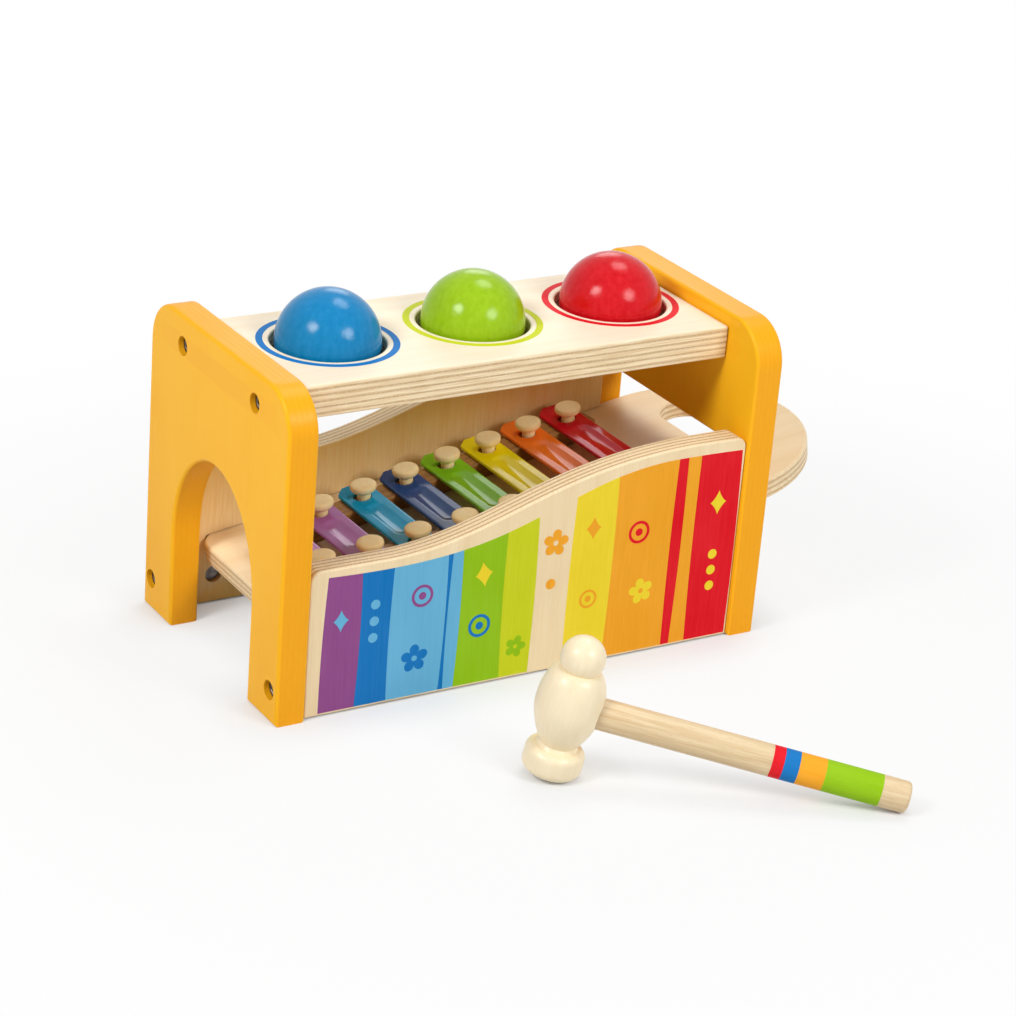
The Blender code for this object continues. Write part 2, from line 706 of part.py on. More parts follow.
def peg_mesh():
    """A flat-headed mushroom peg on Z, from the board's top up through rail and bar."""
    rim = BAR_TOP + PEG_NECK + PEG_LIP
    head = PEG_HEAD_DIAMETER / 2
    stem = PEG_STEM_DIAMETER / 2
    profile = []
    for step in range(PEG_DOME_STEPS + 1):
        angle = math.pi / 2 * step / PEG_DOME_STEPS
        out, rise = math.sqrt(math.sin(angle)), math.sqrt(max(0.0, math.cos(angle)))
        profile.append((head * out, rim + PEG_DOME * rise))
    for step in range(1, PEG_LIP_STEPS + 1):
        angle = math.pi / 2 * step / PEG_LIP_STEPS
        profile.append((stem + (head - stem) * math.cos(angle), rim - PEG_LIP * math.sin(angle)))
    profile += [(stem, RAIL_BASE), (0, RAIL_BASE)]
    return bake(turned("peg", profile, PEG_STEPS))


def make_pegs():
    mesh = peg_mesh()
    for index, (colour, _) in enumerate(BAR_COLOURS):
        along, peg_y = bar_spot(index)
        for side, direction in (("front", -1), ("rear", 1)):
            add_part(
                colour + "_" + side + "_peg", mesh, BEECH, XYLOPHONE, (along, direction * peg_y, 0)
            )


# Hammer, in its own frame: head along Z from its striking face, handle along X

def hammer_lean():
    """The lean at which the face's edge and the handle's end both meet the floor."""
    run = HANDLE_REACH - HANDLE_END_ROUND - (FACE_RADIUS - FACE_EDGE_ROUND)
    rise = HANDLE_HEIGHT - HANDLE_RADIUS + HANDLE_END_ROUND - FACE_EDGE_ROUND
    return math.atan2(rise, run) + math.asin((FACE_EDGE_ROUND - HANDLE_END_ROUND) / math.hypot(run, rise))


def hammer_lift(lean):
    """How high the middle of the striking face is above the floor."""
    edge = FACE_RADIUS - FACE_EDGE_ROUND
    return edge * math.sin(lean) + FACE_EDGE_ROUND * (1 - math.cos(lean))


def hammer_profile():
    """The head's outline from the knob's top down to the striking face."""
    neck_angle = math.degrees(math.asin(-(KNOB_HEIGHT - NECK_HEIGHT) / KNOB_RADIUS))
    profile = arc((0, KNOB_HEIGHT), KNOB_RADIUS, 90, neck_angle, KNOB_STEPS)
    shoulder = NECK_HEIGHT - BARREL_HEIGHT
    for step in range(1, BARREL_STEPS + 1):
        angle = math.pi / 2 * (1 - step / BARREL_STEPS)
        radius = NECK_RADIUS + (BARREL_RADIUS - NECK_RADIUS) * math.cos(angle)
        profile.append((radius, BARREL_HEIGHT + shoulder * math.sin(angle)))
    for step in range(1, BARREL_STEPS + 1):
        t = step / BARREL_STEPS
        radius = WAIST_RADIUS + (BARREL_RADIUS - WAIST_RADIUS) * (1 - t ** BARREL_TAPER)
        profile.append((radius, BARREL_HEIGHT + (WAIST_HEIGHT - BARREL_HEIGHT) * t))
    edge = FACE_RADIUS - FACE_EDGE_ROUND
    profile += arc((edge, FACE_THICKNESS - FACE_EDGE_ROUND), FACE_EDGE_ROUND, 90, 0, ROUND_STEPS)
    profile += arc((edge, FACE_EDGE_ROUND), FACE_EDGE_ROUND, 0, -90, ROUND_STEPS)
    profile.append((0, 0))
    return profile


def make_hammer():
    """The turned head, bored and spot-faced for the round handle."""
    head = bake(turned("hammer_head", hammer_profile(), HAMMER_STEPS))
    head_part = add_part("hammer_head", head, CREAM, HAMMER)
    stretches = [
        (HANDLE_RADIUS + SPOT_FACE_LAND, SPOT_FACE_REACH, 2 * BARREL_RADIUS),
        (HANDLE_RADIUS + GAP, HANDLE_TENON_START, SPOT_FACE_REACH),
    ]
    socket = bore_cutter("hammer_socket", stretches, HAMMER_STEPS)
    across = (0, 0, HANDLE_HEIGHT)
    cut(head_part, add_cutter(socket, HAMMER, across, (0, math.pi / 2, 0)))
    inner = HANDLE_RADIUS - HANDLE_END_ROUND
    profile = [(0, HANDLE_REACH)]
    profile += arc((inner, HANDLE_REACH - HANDLE_END_ROUND), HANDLE_END_ROUND, 90, 0, ROUND_STEPS)
    profile += [(HANDLE_RADIUS, HANDLE_TENON_START + GAP), (0, HANDLE_TENON_START + GAP)]
    handle = bake(turned("hammer_handle", profile, HAMMER_STEPS))
    add_part("hammer_handle", handle, BEECH, HAMMER, across, (0, math.pi / 2, 0))


# The origin: under the middle of the whole object's box, on the floor

def box_middle():
    """The middle of the box round bench, pulled board and hammer, seen from above."""
    tip = BOARD_RIGHT_END * math.cos(SLOPE) - BOARD_MID * math.sin(SLOPE)
    lean = hammer_lean()
    reach = HANDLE_REACH * math.cos(lean) + HANDLE_HEIGHT * math.sin(lean)
    far = HAMMER_Y + reach * math.sin(HAMMER_TURN) - HANDLE_RADIUS * math.cos(HAMMER_TURN)
    return (tip - HALF_LENGTH) / 2, (far + HALF_WIDTH) / 2


clear_scene()
PARTS = new_collection("pounding_xylophone_bench")
CUTTERS = new_collection("cutters")
PAINT = new_material("orange paint", (0.90, 0.44, 0.04), 0.4)
BIRCH = new_material("birch plywood", (0.82, 0.66, 0.47), 0.5)
BEECH = new_material("beech", (0.76, 0.56, 0.34), 0.5)
CREAM = new_material("clear lacquered wood", (0.87, 0.76, 0.55), 0.3)
RUBBER = new_material("black rubber", (0.02, 0.02, 0.02), 0.7)
STEEL = new_material("dark steel", (0.18, 0.18, 0.20), 0.35, 1.0)

MIDDLE_X, MIDDLE_Y = box_middle()
LEAN = hammer_lean()
BENCH = new_empty("bench", None, (-MIDDLE_X, -MIDDLE_Y, 0))
XYLOPHONE = new_empty("xylophone", BENCH, (0, 0, BOARD_TOP_HEIGHT), (0, -SLOPE, 0))
HAMMER = new_empty("hammer", BENCH, (HAMMER_X, HAMMER_Y, hammer_lift(LEAN)), (0, LEAN, HAMMER_TURN))

END_PANELS = make_end_panels()
TOP_BOARD = make_top_board()
SIDE_PANELS = make_side_panels()
make_fasteners(END_PANELS, TOP_BOARD, SIDE_PANELS)
make_balls()
make_board()
make_rails()
make_bars()
make_pegs()
make_hammer()
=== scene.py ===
"""Looks of a pounding bench with a slide-out xylophone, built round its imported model.

The file is laid out as a Blender add-on and is run as a script. It rebuilds each piece of the
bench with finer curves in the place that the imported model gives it, and adds the printed
stripes, the painted rings and the finishes: painted and bare plywood, beech, lacquer, enamel,
steel and rubber.
"""
import json
import math

import bmesh
import bpy
import numpy as np
from mathutils import Euler, Matrix, Vector

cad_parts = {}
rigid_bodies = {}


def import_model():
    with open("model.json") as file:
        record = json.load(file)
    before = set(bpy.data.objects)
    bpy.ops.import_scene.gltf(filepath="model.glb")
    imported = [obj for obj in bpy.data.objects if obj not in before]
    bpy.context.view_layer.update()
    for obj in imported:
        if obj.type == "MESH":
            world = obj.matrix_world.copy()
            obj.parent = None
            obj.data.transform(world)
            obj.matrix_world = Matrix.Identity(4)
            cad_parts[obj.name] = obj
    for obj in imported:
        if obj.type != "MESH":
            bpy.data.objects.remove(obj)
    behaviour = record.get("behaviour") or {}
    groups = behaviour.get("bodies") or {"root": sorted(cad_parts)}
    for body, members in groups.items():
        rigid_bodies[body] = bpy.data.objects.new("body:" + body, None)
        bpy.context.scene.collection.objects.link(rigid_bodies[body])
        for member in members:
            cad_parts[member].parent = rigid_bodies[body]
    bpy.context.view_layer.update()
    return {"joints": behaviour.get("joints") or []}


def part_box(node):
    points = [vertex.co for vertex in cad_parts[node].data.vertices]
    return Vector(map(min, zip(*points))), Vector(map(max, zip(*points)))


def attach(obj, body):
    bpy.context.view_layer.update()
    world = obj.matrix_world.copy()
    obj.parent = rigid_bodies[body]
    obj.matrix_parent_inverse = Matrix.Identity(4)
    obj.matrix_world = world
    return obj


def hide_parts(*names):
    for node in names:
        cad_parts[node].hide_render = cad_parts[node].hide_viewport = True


bl_info = {
    "name": "Pounding Xylophone Bench",
    "version": (1, 0, 0),
    "blender": (4, 5, 0),
    "location": "View3D > Sidebar > Bench",
    "description": "Finishes and fine shapes of a wooden pounding bench with a xylophone",
    "category": "Object",
}

for leftover in list(bpy.data.objects):
    bpy.data.objects.remove(leftover, do_unlink=True)
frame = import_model()

MM = 0.001
GAP = 0.3 * MM
TINY = 1e-7

# Bench, drawn about the middle of its own foot
LEFT_LOW, LEFT_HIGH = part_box("left_end_panel")
RIGHT_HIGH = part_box("right_end_panel")[1]
HALF_LENGTH = (RIGHT_HIGH.x - LEFT_LOW.x) / 2
HALF_WIDTH = (LEFT_HIGH.y - LEFT_LOW.y) / 2
BENCH_HEIGHT = LEFT_HIGH.z
END_THICKNESS = LEFT_HIGH.x - LEFT_LOW.x
INNER_X = HALF_LENGTH - END_THICKNESS
BENCH = Matrix.Translation(
    ((LEFT_LOW.x + RIGHT_HIGH.x) / 2, (LEFT_LOW.y + LEFT_HIGH.y) / 2, 0)
)
ACROSS = Euler((math.pi / 2, 0, math.pi / 2)).to_matrix().to_4x4()
ALONG = Euler((math.pi / 2, 0, 0)).to_matrix().to_4x4()

# Each end and side, with its direction along or across the bench
ENDS = (("left", -1), ("right", 1))
SIDES = (("front", -1), ("rear", 1))

END_PLIES = 11
END_CORNER_RADIUS = 20.0 * MM
ARCH_WIDTH = 79.0 * MM
ARCH_HEIGHT = 95.0 * MM
ARCH_RISE = 49.0 * MM
WINDOW_CORNER_RADIUS = 4.0 * MM

# Top board and balls
TOP_LOW, TOP_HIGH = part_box("top_board")
TOP_SURFACE = TOP_HIGH.z
TOP_THICKNESS = TOP_HIGH.z - TOP_LOW.z
TOP_PLIES = 11
TOP_MID = TOP_SURFACE - TOP_THICKNESS / 2
TOP_WIDTH = TOP_HIGH.y - TOP_LOW.y
TOP_UNDERSIDE = TOP_LOW.z
BALL_RADIUS = 23.75 * MM
BALL_FLAT = 1.6 * MM
BALL_HOLE_RADIUS = 25.85 * MM
BALL_PITCH = 73.4 * MM
BALL_ROW_X = 2.0 * MM
BALL_ROW_Y = 2.4 * MM
RING_RADIUS = 27.7 * MM
RING_HEIGHT = 5.7 * MM
RING_LIP_HEIGHT = 5.2 * MM
RING_LIP_THICKNESS = 1.5 * MM
RING_WALL = 2.6 * MM

# Side panels
SIDE_THICKNESS = 12.0 * MM
SIDE_PLIES = 9
SIDE_SETBACK = 1.5 * MM
SIDE_LIFT = 0.8 * MM
SIDE_LOW_TOP = 70.2 * MM
SIDE_HIGH_TOP = 100.4 * MM
SIDE_CORNER_RADIUS = 5.0 * MM
LOW_FLAT = 36.7 * MM
HIGH_FLAT = 22.9 * MM
WAVE_LOW_REACH = 54.4 * MM
WAVE_HIGH_REACH = 80.6 * MM
REAR_WAVE_SHIFT = 11.5 * MM
SIDE_Y = HALF_WIDTH - SIDE_SETBACK - SIDE_THICKNESS / 2
SIDE_INNER_Y = SIDE_Y - SIDE_THICKNESS / 2

# Screws and barrel nuts
SCREW_RADIUS = 2.5 * MM
SCREW_HEAD_RADIUS = 4.1 * MM
SCREW_HEAD_HEIGHT = 4.0 * MM
SCREW_CHAMFER = 0.4 * MM
SCREW_SOCKET = 4.0 * MM
SCREW_SOCKET_DEPTH = 2.2 * MM
SCREW_HEAD_CLEARANCE = 0.4 * MM
COUNTERBORE_DEPTH = 6.5 * MM
NUT_RADIUS = 4.0 * MM
NUT_LENGTH = 8.0 * MM
NUT_CHAMFER = 0.5 * MM
NUT_FROM_END = 14.5 * MM
SCREW_PAST_NUT = 7.0 * MM
TOP_SCREW_SPACING = 70.6 * MM
SIDE_SCREW_HEIGHT = 14.9 * MM
CUT_MARGIN = 2.0 * MM

# Xylophone, in the frame of its slope
SLIDE = Vector(next(j for j in frame["joints"] if j["name"] == "xylophone_slide")["axis"])
SLOPE_ANGLE = math.atan2(SLIDE.z, SLIDE.x)
BOARD_TOP_HEIGHT = 51.4 * MM
BOARD_THICKNESS = 10.0 * MM
BOARD_PLIES = 7
BOARD_HALF = 58.4 * MM
BOARD_LEFT_END = -INNER_X + 4.4 * MM
BOARD_RIGHT_END = HALF_LENGTH + 58.4 * MM
BOARD_CORNER_RADIUS = 14.0 * MM
HANDLE_RIM = 29.4 * MM
FINGER_SLOT_WIDTH = 24.2 * MM
FINGER_SLOT_LENGTH = 74.6 * MM
GROOVE_GLIDE = 0.4 * MM
GROOVE_STOP_GAP = 0.6 * MM
GROOVE_CORNER_RADIUS = 2.0 * MM
SLOPE = BENCH @ Matrix.Translation((0, 0, BOARD_TOP_HEIGHT)) @ Matrix.Rotation(-SLOPE_ANGLE, 4, "Y")
WINDOW_OVER_PEGS = 2.9 * MM
WINDOW_UNDER_BOARD = 3.2 * MM

# Tone bars, rails and pegs
BAR_NAMES = ("lilac", "purple", "cyan", "navy", "green", "yellow", "orange", "red")
BAR_PITCH = 23.3 * MM
FIRST_BAR = BOARD_LEFT_END + 26.1 * MM
BAR_WIDTH = 17.2 * MM
BAR_THICKNESS = 1.4 * MM
SHORTEST_BAR = 68.4 * MM
LONGEST_BAR = 104.4 * MM
BAR_CORNER_CUT = 5.0 * MM
BAR_CORNER_RADIUS = 3.4 * MM
BAR_END_RADIUS = 1.7 * MM
BAR_RIM_SHARES = (0.0, 0.12, 0.4, 1.0)
BAR_RIM_SLANT = 0.85
BAR_HOLE_RADIUS = 4.4 * MM
FLUTE_WIDTH = 9.0 * MM
FLUTE_TO_PEG = 9.0 * MM
SHORTEST_PEG_SPAN = 44.1 * MM
LONGEST_PEG_SPAN = 70.9 * MM
RAIL_BASE = GAP
RAIL_HEIGHT = 8.4 * MM
RAIL_WIDTH = 14.0 * MM
RAIL_END_MARGIN = 11.0 * MM
BAR_BASE = RAIL_BASE + RAIL_HEIGHT + GAP
BAR_TOP = BAR_BASE + BAR_THICKNESS
PEG_STEM = 3.2 * MM
PEG_HEAD = 6.25 * MM
PEG_DOME = 2.1 * MM
PEG_LIP = 1.4 * MM
PEG_NECK = 3.6 * MM
PEG_FLARE = 2.5 * MM
PEG_TOP = BAR_TOP + PEG_NECK + PEG_LIP + PEG_DOME
BAR_SLIP = BAR_HOLE_RADIUS - PEG_STEM - GAP

# Hammer, in its own frame: head along Z from its striking face, handle along X
HAMMER = BENCH @ Matrix.LocRotScale(
    Vector((-36.3 * MM, -148.6 * MM, 1.7094 * MM)),
    Euler((0, math.radians(10.2997), math.radians(-35.7))),
    None,
)
FACE_RADIUS = 13.2 * MM
FACE_THICKNESS = 12.6 * MM
FACE_EDGE_ROUND = 4.0 * MM
WAIST_RADIUS = 8.3 * MM
WAIST_HEIGHT = 14.1 * MM
BARREL_RADIUS = 14.8 * MM
BARREL_HEIGHT = 32.6 * MM
BARREL_TAPER = 1.8
NECK_RADIUS = 8.1 * MM
NECK_HEIGHT = 49.7 * MM
KNOB_RADIUS = 9.75 * MM
KNOB_HEIGHT = NECK_HEIGHT + math.sqrt(KNOB_RADIUS ** 2 - NECK_RADIUS ** 2)
HANDLE_HEIGHT = 31.9 * MM
HANDLE_RADIUS = 7.0 * MM
HANDLE_REACH = 148.4 * MM
HANDLE_END_ROUND = 2.0 * MM
HANDLE_TENON_START = 2.3 * MM
SPOT_FACE_REACH = 13.8 * MM
SPOT_FACE_LAND = 1.6 * MM
# Where each painted band of the handle starts in mm, and its ink. The last entry ends the bands
HANDLE_BANDS = ((88.0, "red"), (93.0, "blue"), (99.6, "orange"), (111.0, "green"), (135.8, None))

# Ink of the ring painted round each ball's hole
RING_INKS = {"blue": "blue", "green": "lime", "red": "red"}
# Upper border of the print on the front, in mm along and up
PRINT_TOP = (
    (-111.0, 67.0), (-102.5, 66.7), (-86.0, 66.1), (-70.6, 66.0), (-53.5, 66.7), (-36.9, 68.4),
    (-18.5, 72.0), (1.5, 78.0), (20.5, 84.5), (42.1, 91.0), (63.1, 94.4), (85.5, 94.9),
    (108.5, 94.4), (111.0, 94.3),
)
PRINT_FOOT = SIDE_LIFT + 1.1 * MM
PRINT_INKS = ("purple", "blue", "sky", "green", "lime", "yellow", "orange", "red")
# Printed stripes on the front: left border at the top and at the foot in mm, and the ink
STRIPES = (
    (-102.3, -104.3, "purple"),
    (-85.8, -86.6, "blue"),
    (-70.1, -70.8, "sky"),
    (-43.4, -44.5, "blue"),
    (-41.0, -42.1, "sky"),
    (-35.9, -36.8, "green"),
    (-13.7, -13.0, "lime"),
    (2.1, 2.0, None),
    (21.2, 20.2, "yellow"),
    (42.7, 41.6, "orange"),
    (74.5, 74.0, "red"),
    (79.6, 78.4, "orange"),
    (86.6, 87.0, "red"),
    (109.1, 109.5, None),
)
# How far every other border is bowed to the left and to the right
STRIPE_BOWS = (-0.6 * MM, 0.7 * MM)
# Hairline between two stripes, so that each is a closed film of its own
STRIPE_GAP = 0.02 * MM
# Ornaments: kind, place along and up the front in mm, size in mm, turn in degrees, ink
ORNAMENTS = (
    ("diamond", -95.2, 45.0, 5.2, 0, "sky"),
    ("dot", -78.6, 50.0, 2.3, 0, "sky"),
    ("dot", -78.8, 42.0, 2.3, 0, "sky"),
    ("dot", -79.0, 34.0, 2.3, 0, "sky"),
    ("flower", -57.5, 20.0, 6.8, 20, "blue"),
    ("ring", -55.4, 50.0, 5.4, 0, "purple"),
    ("diamond", -24.6, 55.0, 6.2, 8, "yellow"),
    ("ring", -25.2, 30.0, 5.6, 0, "blue"),
    ("flower", -5.4, 16.0, 5.4, 0, "green"),
    ("flower", 11.6, 64.0, 6.6, 12, "orange"),
    ("dot", 10.6, 44.0, 2.5, 0, "orange"),
    ("diamond", 31.2, 68.0, 5.6, 0, "orange"),
    ("ring", 31.4, 33.0, 4.6, 0, "orange"),
    ("ring", 56.0, 62.0, 5.6, 0, "red"),
    ("flower", 60.0, 32.0, 6.4, 30, "yellow"),
    ("diamond", 98.4, 70.0, 6.0, 0, "yellow"),
    ("dot", 98.2, 44.0, 2.4, 0, "yellow"),
    ("dot", 98.2, 36.0, 2.4, 0, "yellow"),
    ("dot", 98.2, 28.0, 2.4, 0, "yellow"),
)
# Underside and top of the ornaments, in films above the front
ORNAMENT_LEVELS = (0.5, 1.6)
# Shapes of the ornaments, as shares of their size
RING_HOLE = 0.74
RING_DOT = 0.34
FLOWER_EYE = 0.2
FLOWER_NOTCH = 0.5
PETALS = 5
PETAL_BLUNTNESS = 0.7
DIAMOND_WIDTH = 0.72
DIAMOND_BEND = 0.8

# Facets
CORNER_STEPS = 16
EDGE_STEPS = 4
ARCH_STEPS = 72
WAVE_STEPS = 56
HOLE_STEPS = 96
BORE_STEPS = 32
SOCKET_SIDES = 6
RING_TIP_STEPS = 8
BOARD_END_STEPS = 72
FINGER_SLOT_STEPS = 24
RAIL_CORNER_STEPS = 3
RAIL_EDGE_STEPS = 2
BAR_CORNER_STEPS = 6
BAR_ROWS = 97
BAR_COLUMNS = 33
PEG_STEPS = 32
PEG_DOME_STEPS = 10
PEG_FLARE_STEPS = 7
BALL_STEPS = 72
HAMMER_STEPS = 64
KNOB_STEPS = 28
BARREL_STEPS = 18
FACE_EDGE_STEPS = 10
HANDLE_END_STEPS = 8
BORDER_STEPS = 10
STRIPE_TOP_STEPS = 12
PETAL_STEPS = 100
DIAMOND_STEPS = 64
DOT_STEPS = 48
SMALL_DOT_STEPS = 32
# How far the round surfaces stay inside the frame's faceted ones
HAMMER_EASE = 0.06 * MM
ROUND_EASE = 0.01 * MM
SHARP_ANGLE = math.radians(38)
WELD = 0.004 * MM
BOX_SLACK = 0.35 * MM
# Least ply number on a board's face, so that no glue line shows there
FACE_VENEER = 0.32
# How much the larger faces count in the even normals, out of 100
FACE_WEIGHT = 100
# Shift of the metal's marks from one fastener to the next, and turn from one peg to the next
FASTENER_SHIFT = 0.013
PEG_TURN = 0.7


# Property groups

def srgb(red, green, blue):
    """A colour given as it looks on a screen, 0 to 255, as the linear values that shaders use."""
    linear = []
    for value in (red / 255, green / 255, blue / 255):
        linear.append(value / 12.92 if value <= 0.04045 else ((value + 0.055) / 1.055) ** 2.4)
    return tuple(linear)


def colour(name, description, red, green, blue):
    """A colour property, given as it looks on a screen, 0 to 255."""
    return bpy.props.FloatVectorProperty(
        name=name, description=description, subtype="COLOR", size=3, min=0, max=1,
        default=srgb(red, green, blue),
    )


def length(name, description, millimetres):
    """A length property in metres, given in millimetres."""
    return bpy.props.FloatProperty(
        name=name, description=description, subtype="DISTANCE", unit="LENGTH", min=0,
        default=millimetres * MM, precision=5,
    )


class BenchSizes(bpy.types.PropertyGroup):
    """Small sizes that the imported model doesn't settle."""

    end_round: length("End edge round", "Rounding of the end panels' edges", 1.8)
    top_round: length("Top edge round", "Rounding of the top board's edges", 1.0)
    side_round: length("Side edge round", "Rounding of the side panels' edges", 0.8)
    board_round: length("Board edge round", "Rounding of the xylophone board's edges", 1.5)
    rail_round: length("Rail edge round", "Rounding of the rails' edges", 0.5)
    bar_round: length("Bar edge round", "Rounding of the tone bars' upper edges", 0.45)
    flute_depth: length("Flute depth", "Depth of the flute pressed into each tone bar", 0.7)
    film: length("Paint film", "Thickness of printed and painted films", 0.06)
    ring_inner: length("Ring inner radius", "Inner radius of the painted rings", 28.7)
    ring_outer: length("Ring outer radius", "Outer radius of the painted rings", 31.8)


class BenchColours(bpy.types.PropertyGroup):
    """Colours of wood, paint, ink, lacquer, enamel and metal; some tones also carry painted light or
    shade, as marked below.
    """

    paint: colour("Panel paint", "Paint of the end panels", 252, 184, 26)
    top_light: colour("Top board light", "Lightest tone of the top board", 248, 235, 212)
    top_dark: colour("Top board dark", "Figure of the top board", 240, 219, 186)
    top_cross: colour("Top board plies", "Crosswise plies on the top board's edge", 192, 157, 110)
    front_light: colour("Front light", "Lightest tone of the front side panel", 246, 226, 188)
    front_dark: colour("Front dark", "Figure of the front side panel", 234, 206, 160)
    front_cross: colour("Front plies", "Crosswise plies on the front panel's edge", 176, 130, 78)
    # Painted shade: the rear panel is the same birch as the front, but its light and dark tones are darker
    # and more golden to stand for the warm shade inside the bench.
    rear_light: colour("Rear light", "Lightest tone of the rear side panel", 255, 219, 142)
    rear_dark: colour("Rear dark", "Figure of the rear side panel", 248, 196, 106)
    rear_cross: colour("Rear plies", "Crosswise plies on the rear panel's edge", 196, 156, 104)
    slide_light: colour("Slide board light", "Lightest tone of the slide board", 250, 230, 192)
    slide_dark: colour("Slide board dark", "Figure of the slide board", 240, 210, 162)
    slide_cross: colour("Slide board plies", "Crosswise plies on the slide board's edge", 196, 158, 108)
    core_light: colour("Core light", "Lightest tone of the lengthwise plies on edges", 248, 231, 198)
    core_dark: colour("Core dark", "Fibres of the lengthwise plies on edges", 226, 198, 152)
    glue: colour("Glue line", "Glue between plies", 146, 104, 62)
    handle_light: colour("Handle light", "Lightest tone of the hammer's handle", 230, 208, 170)
    handle_dark: colour("Handle dark", "Grain of the hammer's handle", 204, 172, 126)
    # Painted shade: the rails' beech is made darker than the handle's to stand for the deep shade between
    # and under the bars.
    rail_light: colour("Rail light", "Lightest tone of the rails under the bars", 176, 124, 58)
    rail_dark: colour("Rail dark", "Grain of the rails under the bars", 128, 84, 40)
    # Painted light: the pegs' beech is made lighter and warmer than the handle's to make up for the shade
    # under the top board.
    peg_light: colour("Peg light", "Lightest tone of the pegs", 255, 232, 174)
    peg_dark: colour("Peg dark", "Grain of the pegs", 255, 210, 142)
    cream_light: colour("Hammer light", "Lightest tone of the hammer's head", 246, 231, 198)
    cream_dark: colour("Hammer dark", "Grain of the hammer's head", 236, 214, 170)
    # Painted shade: the steel is darker than plated steel, so that the barrel nuts look dark deep in their
    # shaded bores; the screws share it.
    steel: colour("Steel", "Screws and barrel nuts", 112, 104, 100)
    rubber: colour("Rubber", "Rings that hold the balls", 26, 24, 23)
    ink_purple: colour("Purple ink", "Purple of the print", 146, 76, 140)
    ink_blue: colour("Blue ink", "Blue of the print, a ring and a band", 0, 118, 192)
    ink_sky: colour("Sky ink", "Light blue of the print", 104, 182, 222)
    ink_green: colour("Green ink", "Green of the print and a band", 149, 197, 12)
    ink_lime: colour("Lime ink", "Yellow-green of the print and a ring", 206, 214, 24)
    ink_yellow: colour("Yellow ink", "Yellow of the print", 244, 218, 44)
    ink_orange: colour("Orange ink", "Orange of the print and a band", 246, 168, 34)
    ink_red: colour("Red ink", "Red of the print, a ring and a band", 228, 4, 28)
    ball_blue: colour("Blue ball", "Lacquer of the blue ball", 0, 130, 188)
    ball_green: colour("Green ball", "Lacquer of the green ball", 154, 195, 6)
    ball_red: colour("Red ball", "Lacquer of the red ball", 214, 2, 22)
    bar_lilac: colour("Lilac bar", "Enamel of the shortest bar", 206, 142, 208)
    bar_purple: colour("Purple bar", "Enamel of the second bar", 184, 112, 182)
    bar_cyan: colour("Cyan bar", "Enamel of the third bar", 0, 168, 222)
    bar_navy: colour("Navy bar", "Enamel of the fourth bar", 40, 78, 144)
    bar_green: colour("Green bar", "Enamel of the fifth bar", 138, 208, 24)
    bar_yellow: colour("Yellow bar", "Enamel of the sixth bar", 255, 236, 0)
    bar_orange: colour("Orange bar", "Enamel of the seventh bar", 255, 126, 30)
    bar_red: colour("Red bar", "Enamel of the longest bar", 214, 12, 34)


class StudioSettings(bpy.types.PropertyGroup):
    """Camera, lamps and floor."""

    camera_place: bpy.props.FloatVectorProperty(
        name="Camera place", description="Where the camera stands", subtype="TRANSLATION",
        unit="LENGTH", default=(-0.704787, -1.012693, 0.62288), precision=5,
    )
    camera_turn: bpy.props.FloatProperty(
        name="Camera azimuth", description="Turn of the camera round the vertical", subtype="ANGLE",
        unit="ROTATION", default=math.radians(-32.6),
    )
    camera_rise: bpy.props.FloatProperty(
        name="Camera elevation", description="Angle above the horizon", subtype="ANGLE",
        unit="ROTATION", default=math.radians(23.65),
    )
    camera_roll: bpy.props.FloatProperty(
        name="Camera roll", description="Roll of the camera about its own axis", subtype="ANGLE",
        unit="ROTATION", default=math.radians(4.66),
    )
    lens: bpy.props.FloatProperty(
        name="Lens", description="Focal length on a 36 mm sensor", subtype="DISTANCE_CAMERA",
        unit="CAMERA", default=108.65,
    )
    sky: bpy.props.FloatProperty(
        name="Sky", description="Even light from all round", subtype="FACTOR", min=0, max=2,
        default=0.22,
    )
    lamps: bpy.props.FloatProperty(
        name="Lamps", description="Level of the four lamps together", subtype="FACTOR", min=0,
        max=4, default=1.0,
    )
    floor: colour("Floor", "Colour of the floor", 224, 224, 224)


# Meshes

def put(name, data):
    """A new object in the scene."""
    item = bpy.data.objects.new(name, data)
    bpy.context.scene.collection.objects.link(item)
    return item


def close_mesh(work, name):
    """The mesh of a bmesh, with outward faces, smooth but for its sharp edges."""
    bmesh.ops.recalc_face_normals(work, faces=work.faces)
    mesh = bpy.data.meshes.new(name)
    work.to_mesh(mesh)
    work.free()
    mesh.shade_smooth()
    mesh.set_sharp_from_angle(angle=SHARP_ANGLE)
    return mesh


def arc(centre, radius, start, end, steps):
    """Points of an arc, both ends included, with its angles in degrees."""
    points = []
    for step in range(steps + 1):
        angle = math.radians(start + (end - start) * step / steps)
        points.append((centre[0] + radius * math.cos(angle), centre[1] + radius * math.sin(angle)))
    return points


def circle(centre, radius, steps):
    return arc(centre, radius, 0, 360, steps)[:-1]


def rounded_outline(corners, steps=CORNER_STEPS):
    """A closed outline of corners (x, y, radius), each turned by an arc."""
    points = []
    count = len(corners)
    for index, (x, y, radius) in enumerate(corners):
        if radius == 0:
            points.append((x, y))
            continue
        before = corners[index - 1]
        after = corners[(index + 1) % count]
        to_before = math.atan2(before[1] - y, before[0] - x)
        to_after = math.atan2(after[1] - y, after[0] - x)
        turn = (to_after - to_before + math.pi) % (2 * math.pi) - math.pi
        reach = radius / math.sin(abs(turn) / 2)
        middle = to_before + turn / 2
        centre = (x + reach * math.cos(middle), y + reach * math.sin(middle))
        sweep = (math.pi - abs(turn)) * (-1 if turn > 0 else 1)
        first = middle + math.pi - sweep / 2
        points += arc(centre, radius, math.degrees(first), math.degrees(first + sweep), steps)
    return points


def rectangle(left, bottom, right, top, radius=0.0, steps=CORNER_STEPS):
    return rounded_outline(
        [(left, bottom, radius), (right, bottom, radius), (right, top, radius), (left, top, radius)],
        steps,
    )


